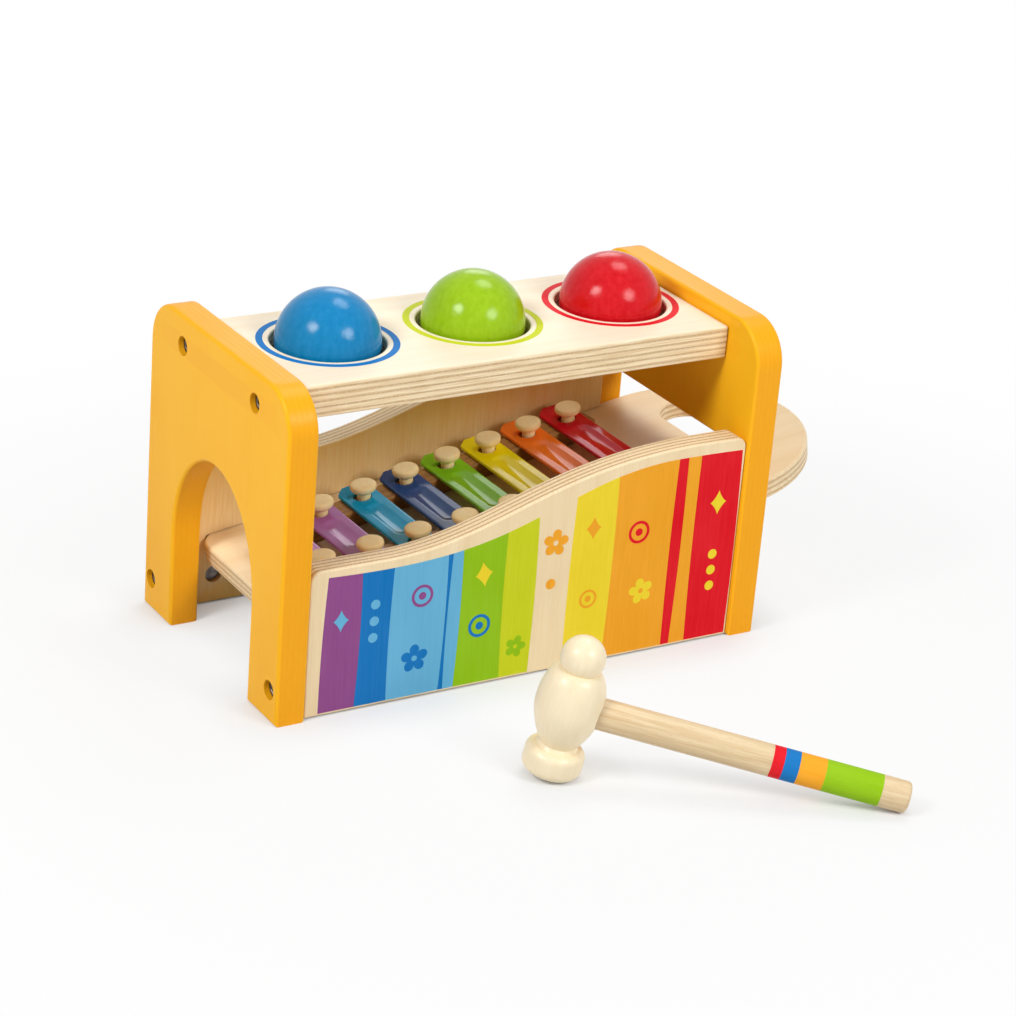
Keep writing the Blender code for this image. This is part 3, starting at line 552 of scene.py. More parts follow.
def settle(item):
    """The evaluated mesh of an object, welded, with the object removed."""
    graph = bpy.context.evaluated_depsgraph_get()
    mesh = bpy.data.meshes.new_from_object(item.evaluated_get(graph))
    name = item.name
    bpy.data.objects.remove(item, do_unlink=True)
    work = bmesh.new()
    work.from_mesh(mesh)
    bpy.data.meshes.remove(mesh)
    bmesh.ops.remove_doubles(work, verts=work.verts, dist=WELD)
    return close_mesh(work, name)


def plate(name, outlines, thickness, edge_round=0.0, edge_steps=EDGE_STEPS):
    """A flat board of the first outline with the others as holes, edges rounded."""
    drawn = bpy.data.curves.new(name, "CURVE")
    drawn.dimensions = "2D"
    drawn.fill_mode = "BOTH"
    drawn.extrude = thickness / 2 - edge_round
    drawn.bevel_depth = edge_round
    drawn.bevel_resolution = edge_steps
    drawn.offset = -edge_round
    for outline in outlines:
        spline = drawn.splines.new("POLY")
        spline.points.add(len(outline) - 1)
        for point, (x, y) in zip(spline.points, outline):
            point.co = (x, y, 0, 1)
        spline.use_cyclic_u = True
    return settle(put(name, drawn))


def turned(name, profile, steps, closed=False):
    """A turned solid: (radius, height) pairs from top to bottom, spun round Z."""
    work = bmesh.new()
    rings = []
    for radius, height in profile:
        if radius < TINY:
            rings.append([work.verts.new((0, 0, height))])
            continue
        ring = []
        for step in range(steps):
            angle = 2 * math.pi * step / steps
            ring.append(work.verts.new((radius * math.cos(angle), radius * math.sin(angle), height)))
        rings.append(ring)
    pairs = list(zip(rings, rings[1:]))
    if closed:
        pairs.append((rings[-1], rings[0]))
    for upper, lower in pairs:
        for step in range(steps):
            after = (step + 1) % steps
            corners = [upper[step % len(upper)], lower[step % len(lower)]]
            corners += [lower[after % len(lower)], upper[after % len(upper)]]
            corners = list(dict.fromkeys(corners))
            if len(corners) > 2:
                work.faces.new(corners)
    return close_mesh(work, name)


def bore(name, stretches, steps=BORE_STEPS):
    """A stepped bore along Z: stretches of (radius, from, to), the deepest first."""
    profile = [(0, stretches[0][2])]
    for radius, start, end in stretches:
        profile += [(radius, end), (radius, start)]
    profile.append((0, stretches[-1][1]))
    return turned(name, profile, steps)


def carve(mesh, cutters):
    """A mesh with cutters, given as (mesh, matrix) in its own frame, taken out of it."""
    item = put(mesh.name, mesh)
    tools = []
    for cutter, matrix in cutters:
        tool = put(cutter.name, cutter)
        tool.matrix_world = matrix
        tools.append(tool)
        modifier = item.modifiers.new(cutter.name, "BOOLEAN")
        modifier.operation = "DIFFERENCE"
        modifier.solver = "EXACT"
        modifier.object = tool
    bpy.context.view_layer.update()
    carved = settle(item)
    for tool in tools:
        bpy.data.objects.remove(tool, do_unlink=True)
    return carved


def film(work, outer, low, high, slot=0, inner=None):
    """A thin closed film over an outline, or over the band between two outlines of like count."""
    faces = []

    def loop(outline, height):
        return [work.verts.new((x, y, height)) for x, y in outline]

    def band(first, second):
        for index in range(len(first)):
            after = (index + 1) % len(first)
            faces.append(work.faces.new((first[index], second[index], second[after], first[after])))

    tops = loop(outer, high)
    feet = loop(outer, low)
    band(tops, feet)
    if inner is None:
        faces.append(work.faces.new(tops))
        faces.append(work.faces.new(feet[::-1]))
    else:
        inner_tops = loop(inner, high)
        inner_feet = loop(inner, low)
        band(inner_tops, tops)
        band(feet, inner_feet)
        band(inner_feet, inner_tops)
    for face in faces:
        face.material_index = slot


def point_table(mesh):
    """A mesh's points as an array."""
    places = np.empty(len(mesh.vertices) * 3, np.float32)
    mesh.vertices.foreach_get("co", places)
    return places.reshape(-1, 3)


def set_grain(mesh, along, across, shift, thickness=0.0, plies=0):
    """Keep where each point lies in its timber, grain first, and its ply from face to face.

    The grain runs along one axis and shows its figure across another, 0 to 2 for X to Z. The
    shift gives each piece a timber of its own.
    """
    places = point_table(mesh)
    through = 3 - along - across
    grain = places[:, (along, across, through)] + np.array(shift, np.float32)
    layer = mesh.attributes.new("grain", "FLOAT_VECTOR", "POINT")
    layer.data.foreach_set("vector", grain.astype(np.float32).ravel())
    if plies:
        normals = np.empty(len(mesh.vertices) * 3, np.float32)
        mesh.vertex_normals.foreach_get("vector", normals)
        facing = normals.reshape(-1, 3)[:, 2] ** 2
        depth = (places[:, 2] / thickness + 0.5) * plies
        kept = {
            "ply": np.clip(depth, FACE_VENEER, plies - FACE_VENEER),
            "edge": 4 * facing * (1 - facing),
            "wall": 1 - facing,
        }
        for name, values in kept.items():
            layer = mesh.attributes.new(name, "FLOAT", "POINT")
            layer.data.foreach_set("value", values.astype(np.float32))
    return mesh


# Pieces

def check_place(piece, node):
    """Stop if a piece's box isn't its node's box."""
    low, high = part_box(node)
    places = point_table(piece.data)
    for axis in range(3):
        least, most = places[:, axis].min(), places[:, axis].max()
        if abs(least - low[axis]) > BOX_SLACK or abs(most - high[axis]) > BOX_SLACK:
            raise RuntimeError(
                f"{piece.name} doesn't lie where {node} lies along axis {axis}: "
                f"{least:.5f} to {most:.5f}, not {low[axis]:.5f} to {high[axis]:.5f}"
            )


def add_piece(name, mesh, finishes, matrix, body, node=None, even_normals=False):
    """Put a piece in the scene, on its body, in place of its node."""
    piece = put(name, mesh)
    for finish in finishes:
        mesh.materials.append(finish)
    mesh.transform(matrix)
    mesh.update()
    if even_normals:
        weighted = piece.modifiers.new("even normals", "WEIGHTED_NORMAL")
        weighted.keep_sharp = True
        weighted.weight = FACE_WEIGHT
    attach(piece, body)
    if node:
        check_place(piece, node)
        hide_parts(node)
    return piece


# Finishes

class Nodes:
    """A node tree, whose nodes are added by plain calls. An input is a value or a socket."""

    def __init__(self, tree):
        self.tree = tree

    def feed(self, socket, value):
        if isinstance(value, bpy.types.NodeSocket):
            self.tree.links.new(value, socket)
        elif socket.type == "RGBA":
            socket.default_value = (*value, 1.0)
        else:
            socket.default_value = value

    def add(self, kind, inputs=None, output=0, **settings):
        node = self.tree.nodes.new("ShaderNode" + kind)
        for key, value in settings.items():
            setattr(node, key, value)
        for key, value in (inputs or {}).items():
            self.feed(node.inputs[key], value)
        return node.outputs[output]

    def calc(self, operation, first, second=0.0, third=0.0):
        return self.add("Math", {0: first, 1: second, 2: third}, operation=operation)

    def total(self, first, share, second, other_share):
        """Two values added, each by its share."""
        return self.calc(
            "ADD", self.calc("MULTIPLY", first, share), self.calc("MULTIPLY", second, other_share)
        )

    def between(self, value, low, high, to_low=0.0, to_high=1.0):
        inputs = {"Value": value, "From Min": low, "From Max": high, "To Min": to_low, "To Max": to_high}
        return self.add("MapRange", inputs, interpolation_type="SMOOTHSTEP")

    def seen(self):
        """A factor of 1 for rays that show the background, 0 for rays that light the toy."""
        camera, glossy, transmitted = (
            self.add("LightPath", output=f"Is {kind} Ray") for kind in ("Camera", "Glossy", "Transmission")
        )
        return self.calc("MAXIMUM", self.calc("MAXIMUM", camera, glossy), transmitted)


class Finish(Nodes):
    """One material, with the words that finishes need."""

    def __init__(self, name):
        self.material = bpy.data.materials.new(name)
        self.material.use_nodes = True
        super().__init__(self.material.node_tree)
        self.shader = self.tree.nodes["Principled BSDF"]

    def set(self, **sockets):
        """Feed the shader's sockets, named with underscores for spaces."""
        for key, value in sockets.items():
            self.feed(self.shader.inputs[key.replace("_", " ")], value)

    def grain(self):
        return self.add("Attribute", output="Vector", attribute_name="grain")

    def value(self, name):
        return self.add("Attribute", output="Fac", attribute_name=name)

    def mix(self, factor, first, second):
        return self.add("Mix", {0: factor, 6: first, 7: second}, output=2, data_type="RGBA")

    def cover(self, shade, mask, share, tone):
        """A shade with a share of another tone over it where the mask is."""
        return self.mix(self.calc("MULTIPLY", mask, share), shade, tone)

    def noise(self, place, scale, detail=3.0, rough=0.55, output="Fac"):
        """Noise at so many cells a metre along the grain, across it and through it."""
        spread = self.add("VectorMath", {0: place, 1: scale}, operation="MULTIPLY")
        inputs = {"Vector": spread, "Scale": 1.0, "Detail": detail, "Roughness": rough}
        return self.add("TexNoise", inputs, output=output)

    def wander(self, place, scale, reach):
        """A place moved about by slow noise, so that the grain isn't ruled."""
        drift = self.noise(place, scale, 2.0, output="Color")
        centred = self.add("VectorMath", {0: drift, 1: (0.5, 0.5, 0.5)}, operation="SUBTRACT")
        moved = self.add("VectorMath", {0: centred, 1: reach}, operation="MULTIPLY")
        return self.add("VectorMath", {0: place, 1: moved})

    def bump(self, height, strength, distance):
        inputs = {"Height": height, "Strength": strength, "Distance": distance}
        self.set(Normal=self.add("Bump", inputs))

    def plies(self, place):
        """Masks of the crosswise plies and of the glue lines, from the kept ply number."""
        shifted = self.calc("SUBTRACT", self.value("ply"), 0.5)
        wave = self.calc("COSINE", self.calc("MULTIPLY", shifted, math.pi))
        uneven = self.noise(place, (30.0, 30.0, 500.0), 2.0)
        lower = self.calc("SUBTRACT", self.total(uneven, 0.6, wave, -1.0), 0.3)
        cross = self.between(lower, 0.3, 0.85)
        glue = self.between(self.calc("ABSOLUTE", wave), 0.0, 0.26, 1.0, 0.0)
        return cross, self.calc("MULTIPLY", glue, self.between(uneven, 0.35, 0.6))


def paint_finish(colours):
    """Opaque paint on plywood: faint fibres and plies show through, and the walls soak it up."""
    f = Finish("orange paint")
    place = f.wander(f.grain(), (9.0, 30.0, 30.0), (0.0, 0.003, 0.003))
    cross, glue = f.plies(place)
    fibre = f.noise(place, (34.0, 900.0, 900.0), 4.0)
    cloud = f.noise(place, (16.0, 22.0, 22.0), 3.0)
    speck = f.between(f.noise(place, (520.0, 640.0, 640.0), 1.0), 0.76, 0.8)
    base = Vector(colours.paint)
    deep = (base.x * 0.93, base.y * 0.82, base.z * 0.6)
    soaked = (base.x * 0.9, base.y * 0.7, base.z * 0.9)
    bright = (min(1.0, base.x * 1.03), min(1.0, base.y * 1.08), base.z * 1.3)
    tone = f.total(cloud, 0.6, fibre, 0.4)
    shade = f.mix(f.between(tone, 0.3, 0.72), bright, tuple(base))
    shade = f.cover(shade, cross, 0.32, deep)
    shade = f.cover(shade, glue, 0.12, deep)
    shade = f.cover(shade, f.value("wall"), 0.6, soaked)
    shade = f.cover(shade, f.value("edge"), 0.3, bright)
    shade = f.cover(shade, speck, 0.4, deep)
    f.bump(f.total(fibre, 0.5, cross, -0.5), 0.22, 0.25 * MM)
    f.set(Base_Color=shade, Roughness=f.between(tone, 0.25, 0.8, 0.3, 0.4), Specular_IOR_Level=0.13)
    return f.material


def birch_finish(colours, board):
    """Clear-lacquered birch plywood of one board: a faint figure on its faces, plies on its edges."""
    f = Finish(board + " birch")
    light, dark, cross_ply = (getattr(colours, f"{board}_{tone}") for tone in ("light", "dark", "cross"))
    place = f.wander(f.grain(), (5.0, 24.0, 24.0), (0.0, 0.006, 0.006))
    cross, glue = f.plies(place)
    streak = f.noise(place, (6.0, 110.0, 110.0), 5.0, 0.6)
    fibre = f.noise(place, (48.0, 1700.0, 1700.0), 3.0)
    pore = f.between(f.noise(place, (170.0, 2400.0, 2400.0), 2.0), 0.64, 0.75)
    end = f.noise(place, (900.0, 900.0, 1400.0), 3.0)
    tone = f.total(streak, 0.62, fibre, 0.38)
    face = f.mix(f.between(tone, 0.25, 0.85), light, dark)
    face = f.cover(face, pore, 0.12, cross_ply)
    edge = f.mix(f.between(end, 0.3, 0.7, 0.0, 0.4), cross_ply, dark)
    core = f.mix(f.between(fibre, 0.3, 0.75), colours.core_light, colours.core_dark)
    face = f.mix(f.value("wall"), face, core)
    shade = f.cover(face, cross, 0.9, edge)
    shade = f.cover(shade, glue, 0.5, colours.glue)
    rise = f.total(fibre, 0.5, pore, -0.4)
    f.bump(f.total(rise, 1.0, cross, -0.4), 0.2, 0.2 * MM)
    f.set(Base_Color=shade, Roughness=f.between(tone, 0.25, 0.8, 0.4, 0.54), Specular_IOR_Level=0.2)
    return f.material


def solid_wood_finish(name, light, dark, figure, coat, rough):
    """Solid timber: fine straight grain with short flecks, as strong as its figure."""
    f = Finish(name)
    place = f.wander(f.grain(), (14.0, 60.0, 60.0), (0.0, 0.0016, 0.0016))
    streak = f.noise(place, (16.0, 420.0, 420.0), 4.0, 0.6)
    fibre = f.noise(place, (70.0, 2600.0, 2600.0), 3.0)
    dash = f.between(f.noise(place, (260.0, 2300.0, 2300.0), 1.0), 0.62, 0.72)
    tone = f.total(streak, 0.7, fibre, 0.3)
    shade = f.mix(f.between(tone, 0.32, 0.74, 0.0, figure), light, dark)
    shade = f.cover(shade, dash, 0.45 * figure, dark)
    f.bump(f.total(fibre, 1.0, dash, -0.5), 0.14, 0.15 * MM)
    f.set(
        Base_Color=shade, Roughness=f.between(tone, 0.25, 0.8, rough, rough + 0.12),
        Specular_IOR_Level=0.3, Coat_Weight=coat, Coat_Roughness=0.26,
    )
    return f.material


def ink_finish(name, ink):
    """Printed ink: even, with the wood's fibres just showing."""
    f = Finish(name)
    place = f.wander(f.grain(), (5.0, 24.0, 24.0), (0.0, 0.006, 0.006))
    fibre = f.noise(place, (40.0, 1100.0, 1100.0), 3.0)
    cloud = f.noise(place, (22.0, 40.0, 40.0), 3.0)
    base = Vector(ink)
    deep = tuple(base * 0.9)
    bright = tuple(base.lerp(Vector((1, 1, 1)), 0.02))
    tone = f.total(cloud, 0.5, fibre, 0.5)
    f.bump(fibre, 0.12, 0.12 * MM)
    f.set(
        Base_Color=f.mix(f.between(tone, 0.25, 0.8), bright, deep),
        Roughness=f.between(tone, 0.25, 0.8, 0.44, 0.54), Specular_IOR_Level=0.05,
    )
    return f.material


def lacquer_finish(name, lacquer):
    """Coloured lacquer on a turned ball: thick, with brush mottle and a soft gloss."""
    f = Finish(name)
    place = f.grain()
    mottle = f.noise(place, (330.0, 330.0, 330.0), 3.0, 0.6)
    peel = f.noise(place, (1400.0, 1400.0, 1400.0), 2.0)
    rings = f.noise(place, (60.0, 420.0, 420.0), 3.0)
    base = Vector(lacquer)
    deep = tuple(base * 0.88)
    bright = tuple(base.lerp(Vector((1, 1, 1)), 0.01))
    tone = f.total(mottle, 0.5, rings, 0.5)
    f.bump(f.total(mottle, 0.4, peel, 0.6), 0.5, 0.22 * MM)
    f.set(
        Base_Color=f.mix(f.between(tone, 0.3, 0.7), bright, deep),
        Roughness=f.between(mottle, 0.3, 0.75, 0.08, 0.14), Specular_IOR_Level=0.18,
    )
    return f.material


def enamel_finish(name, enamel):
    """Stoved enamel on a metal bar: glossy, with fine peel and slow clouds of tone."""
    f = Finish(name)
    place = f.grain()
    peel = f.noise(place, (1300.0, 1300.0, 1300.0), 2.0)
    cloud = f.noise(place, (90.0, 90.0, 90.0), 3.0)
    base = Vector(enamel)
    deep = tuple(base * 0.92)
    bright = tuple(base.lerp(Vector((1, 1, 1)), 0.01))
    f.bump(peel, 0.03, 0.04 * MM)
    f.set(
        Base_Color=f.mix(f.between(cloud, 0.3, 0.72), bright, deep),
        Roughness=f.between(cloud, 0.25, 0.8, 0.08, 0.13), Specular_IOR_Level=0.17,
    )
    return f.material


def steel_finish(colours):
    """Plated steel with fine turning marks and duller patches."""
    f = Finish("plated steel")
    place = f.grain()
    marks = f.noise(place, (5200.0, 260.0, 260.0), 2.0)
    patch = f.noise(place, (420.0, 420.0, 420.0), 3.0)
    # The base steel tone carries painted shade, darkened for the nuts in their bores.
    base = Vector(colours.steel)
    f.bump(marks, 0.2, 0.05 * MM)
    f.set(
        Base_Color=f.mix(f.between(patch, 0.3, 0.7), tuple(base), tuple(base * 0.55)), Metallic=1.0,
        Roughness=f.between(patch, 0.25, 0.75, 0.26, 0.46),
    )
    return f.material


def rubber_finish(colours):
    """Moulded rubber, matt and slightly dusty."""
    f = Finish("black rubber")
    place = f.grain()
    dust = f.noise(place, (500.0, 500.0, 500.0), 4.0)
    skin = f.noise(place, (2600.0, 2600.0, 2600.0), 2.0)
    base = Vector(colours.rubber)
    f.bump(skin, 0.25, 0.08 * MM)
    f.set(
        Base_Color=f.mix(f.between(dust, 0.4, 0.8), tuple(base), tuple(base * 2.2)),
        Roughness=f.between(dust, 0.2, 0.8, 0.62, 0.8), Specular_IOR_Level=0.3,
    )
    return f.material


def beech(colours, part, figure):
    """The beech of pegs, rails or handle, by the part's short name."""
    light, dark = getattr(colours, part + "_light"), getattr(colours, part + "_dark")
    return solid_wood_finish(part + " beech", light, dark, figure, coat=0.0, rough=0.42)


def ink(colours, name):
    """A printed ink by its colour's short name, made the first time it is asked for."""
    made = bpy.data.materials.get(name + " ink")
    return made or ink_finish(name + " ink", getattr(colours, "ink_" + name))


# Bench

def arch_points():
    """The left end's arch, a half ellipse on two straight legs, right to left."""
    spring = ARCH_HEIGHT - ARCH_RISE
    points = [(ARCH_WIDTH / 2, 0, 0)]
    for step in range(ARCH_STEPS + 1):
        angle = math.pi * step / ARCH_STEPS
        points.append((ARCH_WIDTH / 2 * math.cos(angle), spring + ARCH_RISE * math.sin(angle), 0))
    points.append((-ARCH_WIDTH / 2, 0, 0))
    return points


def end_corners():
    return [
        (-HALF_WIDTH, 0, 0),
        (-HALF_WIDTH, BENCH_HEIGHT, END_CORNER_RADIUS),
        (HALF_WIDTH, BENCH_HEIGHT, END_CORNER_RADIUS),
        (HALF_WIDTH, 0, 0),
    ]


def slope_height(x, above):
    """Height at x of the plane that lies so far above the xylophone board's top."""
    return BOARD_TOP_HEIGHT + x * math.tan(SLOPE_ANGLE) + above / math.cos(SLOPE_ANGLE)


def fastener_spots():
    """Name, place across and up, and carrier of the four screws of an end."""
    top_y = TOP_SCREW_SPACING / 2
    return (
        ("top_front", -top_y, TOP_MID, "top"),
        ("top_rear", top_y, TOP_MID, "top"),
        ("base_front", -SIDE_Y, SIDE_SCREW_HEIGHT, "front"),
        ("base_rear", SIDE_Y, SIDE_SCREW_HEIGHT, "rear"),
    )


def nut_turn(carrier):
    """How a barrel nut stands, its open side towards the bench's inside."""
    angle = {"top": 0.0, "front": math.pi / 2, "rear": -math.pi / 2}[carrier]
    return Matrix.Rotation(angle, 4, "X")


def screw_bores(place, ends, carriers):
    """Cutters for the screws of some ends through some carriers, in the frame that place maps from."""
    past_nut = END_THICKNESS + NUT_FROM_END + SCREW_PAST_NUT + CUT_MARGIN
    stretches = [
        (SCREW_RADIUS + GAP, COUNTERBORE_DEPTH, past_nut),
        (SCREW_HEAD_RADIUS + SCREW_HEAD_CLEARANCE, -CUT_MARGIN, COUNTERBORE_DEPTH),
    ]
    cutters = []
    for direction in ends:
        inward = Matrix.Rotation(-direction * math.pi / 2, 4, "Y")
        for spot, y, z, carrier in fastener_spots():
            if carrier in carriers:
                there = Matrix.Translation((direction * HALF_LENGTH, y, z)) @ inward
                cutters.append((bore(spot + "_bore", stretches), place.inverted() @ there))
    return cutters


def nut_bores(place, carrier):
    """Cutters for the barrel nuts of one carrier."""
    stretches = [(NUT_RADIUS + GAP, -TOP_THICKNESS, NUT_LENGTH / 2 + GAP)]
    cutters = []
    for direction in (-1, 1):
        for spot, y, z, holder in fastener_spots():
            if holder == carrier:
                there = Matrix.Translation((direction * (INNER_X - NUT_FROM_END), y, z))
                there = place.inverted() @ there @ nut_turn(carrier)
                cutters.append((bore(spot + "_nut_bore", stretches), there))
    return cutters


def ball_spots():
    names = ("blue", "green", "red")
    return [(name, BALL_ROW_X + BALL_PITCH * (step - 1), BALL_ROW_Y) for step, name in enumerate(names)]


def wave_points(reach, shift):
    """The wave of a side panel's top edge, from its high right to its low left."""
    start = -reach + LOW_FLAT + shift
    end = reach - HIGH_FLAT + shift
    xs = (end, end - WAVE_HIGH_REACH, start + WAVE_LOW_REACH, start)
    zs = (SIDE_HIGH_TOP, SIDE_HIGH_TOP, SIDE_LOW_TOP, SIDE_LOW_TOP)
    points = []
    for step in range(WAVE_STEPS + 1):
        t = step / WAVE_STEPS
        weights = ((1 - t) ** 3, 3 * t * (1 - t) ** 2, 3 * t ** 2 * (1 - t), t ** 3)
        x = sum(weight * value for weight, value in zip(weights, xs))
        z = sum(weight * value for weight, value in zip(weights, zs))
        points.append((x, z))
    return points


def groove_mesh():
    """The board's path between the side panels, in the slope's frame laid on its side."""
    into_corner = SIDE_INNER_Y - (BOARD_HALF - BOARD_CORNER_RADIUS)
    set_in = BOARD_CORNER_RADIUS - math.sqrt(BOARD_CORNER_RADIUS ** 2 - into_corner ** 2)
    left = BOARD_LEFT_END + set_in - GROOVE_STOP_GAP
    low = -BOARD_THICKNESS - GROOVE_GLIDE
    outline = rounded_outline([
        (left, low, GROOVE_CORNER_RADIUS),
        (BOARD_RIGHT_END, low, 0),
        (BOARD_RIGHT_END, GROOVE_GLIDE, 0),
        (left, GROOVE_GLIDE, GROOVE_CORNER_RADIUS),
    ])
    return plate("groove", [outline], 2 * (BOARD_HALF + GROOVE_GLIDE), 0.0, 0)


def print_top(x):
    """Height of the print's upper border at a place along the front, eased through its points."""
    xs, zs = np.array(PRINT_TOP).T * MM
    slopes = np.gradient(zs, xs)
    index = int(np.clip(np.searchsorted(xs, x) - 1, 0, len(xs) - 2))
    span = xs[index + 1] - xs[index]
    t = (x - xs[index]) / span
    start = (1 + 2 * t) * (1 - t) ** 2 * zs[index] + t * (1 - t) ** 2 * span * slopes[index]
    end = t ** 2 * (3 - 2 * t) * zs[index + 1] + t ** 2 * (t - 1) * span * slopes[index + 1]
    return float(start + end)


def border(top_x, foot_x, bow):
    """A stripe's border from the foot up, bowed a little as brushed edges are."""
    rise = print_top(top_x) - PRINT_FOOT
    points = []
    for step in range(BORDER_STEPS + 1):
        t = step / BORDER_STEPS
        x = foot_x + (top_x - foot_x) * t + bow * math.sin(math.pi * t)
        points.append((x, PRINT_FOOT + rise * t))
    return points


def stripe_films(work, sizes):
    """The printed stripes, side by side, each from the foot to the print's upper border."""
    face = SIDE_THICKNESS / 2
    borders = []
    for index, (top_x, foot_x, _) in enumerate(STRIPES):
        borders.append(border(top_x * MM, foot_x * MM, STRIPE_BOWS[index % 2]))
    for (_, _, name), left, right in zip(STRIPES, borders, borders[1:]):
        if name is None:
            continue
        left = [(x + STRIPE_GAP / 2, z) for x, z in left]
        right = [(x - STRIPE_GAP / 2, z) for x, z in right]
        tops = np.linspace(left[-1][0], right[-1][0], STRIPE_TOP_STEPS + 1)[1:-1]
        outline = left + [(x, print_top(x)) for x in tops] + right[::-1]
        film(work, outline[::-1], face, face + sizes.film, PRINT_INKS.index(name))


def flower(size):
    points = []
    for step in range(PETAL_STEPS):
        angle = 2 * math.pi * step / PETAL_STEPS
        petal = abs(math.cos(PETALS / 2 * angle)) ** PETAL_BLUNTNESS
        radius = size * (1 - FLOWER_NOTCH + FLOWER_NOTCH * petal)
        points.append((radius * math.cos(angle), radius * math.sin(angle)))
    return points


def diamond(size):
    points = []
    for step in range(DIAMOND_STEPS):
        angle = 2 * math.pi * step / DIAMOND_STEPS
        out, up = math.cos(angle), math.sin(angle)
        radius = size / (abs(out) ** DIAMOND_BEND + abs(up) ** DIAMOND_BEND) ** (1 / DIAMOND_BEND)
        points.append((DIAMOND_WIDTH * radius * out, radius * up))
    return points


def dot(size, steps=DOT_STEPS):
    return circle((0, 0), size, steps)


def ornament_outlines(kind, size):
    """The outlines of an ornament about the origin, each with that of its hole or None."""
    if kind == "ring":
        return [(dot(size), dot(RING_HOLE * size)), (dot(RING_DOT * size, SMALL_DOT_STEPS), None)]
    if kind == "flower":
        return [(flower(size), dot(FLOWER_EYE * size, PETAL_STEPS))]
    return [(diamond(size) if kind == "diamond" else dot(size), None)]


def ornament_films(work, sizes):
    """Small ornaments printed over the stripes."""
    low, high = (SIDE_THICKNESS / 2 + sizes.film * level for level in ORNAMENT_LEVELS)
    for kind, x, z, size, turn, name in ORNAMENTS:
        place = Matrix.Translation((x * MM, z * MM, 0)) @ Matrix.Rotation(math.radians(turn), 4, "Z")
        for pair in ornament_outlines(kind, size * MM):
            outer, hole = (
                points and [(place @ Vector((*point, 0))).xy for point in points] for points in pair
            )
            film(work, outer, low, high, PRINT_INKS.index(name), hole)


class BENCH_OT_end_panels(bpy.types.Operator):
    """Build the two painted end panels, one with an arch and one with a window"""

    bl_idname = "pounding_bench.end_panels"
    bl_label = "End Panels"

    def execute(self, context):
        sizes = context.scene.bench_sizes
        paint = paint_finish(context.scene.bench_colours)
        window = BOARD_HALF + GROOVE_GLIDE
        sill = slope_height(INNER_X, -BOARD_THICKNESS) - WINDOW_UNDER_BOARD
        head = slope_height(HALF_LENGTH, PEG_TOP) + WINDOW_OVER_PEGS
        outlines = {
            "left": [rounded_outline(end_corners() + arch_points())],
            "right": [
                rounded_outline(end_corners()),
                rectangle(-window, sill, window, head, WINDOW_CORNER_RADIUS),
            ],
        }
        for end, direction in ENDS:
            place = Matrix.Translation((direction * (HALF_LENGTH - END_THICKNESS / 2), 0, 0)) @ ACROSS
            mesh = plate(end + "_end", outlines[end], END_THICKNESS, sizes.end_round)
            mesh = carve(mesh, screw_bores(place, (direction,), ("top", "front", "rear")))
            set_grain(mesh, 1, 0, (direction * 0.7, 0.3, 0.1), END_THICKNESS, END_PLIES)
            add_piece(
                "painted_" + end + "_end", mesh, [paint], BENCH @ place, "bench",
                end + "_end_panel", even_normals=True,
            )
        return {"FINISHED"}


class BENCH_OT_top_board(bpy.types.Operator):
    """Build the plywood top board with its three holes and the painted rings round them"""

    bl_idname = "pounding_bench.top_board"
    bl_label = "Top Board"

    def execute(self, context):
        sizes = context.scene.bench_sizes
        colours = context.scene.bench_colours
        half = INNER_X - GAP
        outlines = [rectangle(-half, -TOP_WIDTH / 2, half, TOP_WIDTH / 2, sizes.top_round, EDGE_STEPS)]
        outlines += [circle((x, y), BALL_HOLE_RADIUS, HOLE_STEPS) for _, x, y in ball_spots()]
        place = Matrix.Translation((0, 0, TOP_MID))
        mesh = plate("top", outlines, TOP_THICKNESS, sizes.top_round)
        depth = [(RING_RADIUS + GAP, -CUT_MARGIN, RING_HEIGHT + GAP)]
        cutters = []
        for name, x, y in ball_spots():
            there = Matrix.Translation((x, y, TOP_UNDERSIDE))
            cutters.append((bore(name + "_counterbore", depth, HOLE_STEPS), place.inverted() @ there))
        cutters += screw_bores(place, (-1, 1), ("top",)) + nut_bores(place, "top")
        mesh = set_grain(carve(mesh, cutters), 0, 1, (0.2, 0.5, 0.3), TOP_THICKNESS, TOP_PLIES)
        add_piece(
            "birch_top_board", mesh, [birch_finish(colours, "top")], BENCH @ place, "bench",
            "top_board", even_normals=True,
        )
        for name, x, y in ball_spots():
            work = bmesh.new()
            outer = circle((0, 0), sizes.ring_outer, HOLE_STEPS)
            inner = circle((0, 0), sizes.ring_inner, HOLE_STEPS)
            film(work, outer, 0.0, sizes.film, 0, inner)
            ring = set_grain(close_mesh(work, name + "_ring"), 0, 1, (x, y, 0.0))
            there = BENCH @ Matrix.Translation((x, y, TOP_SURFACE))
            add_piece(name + "_painted_ring", ring, [ink(colours, RING_INKS[name])], there, "bench")
        return {"FINISHED"}


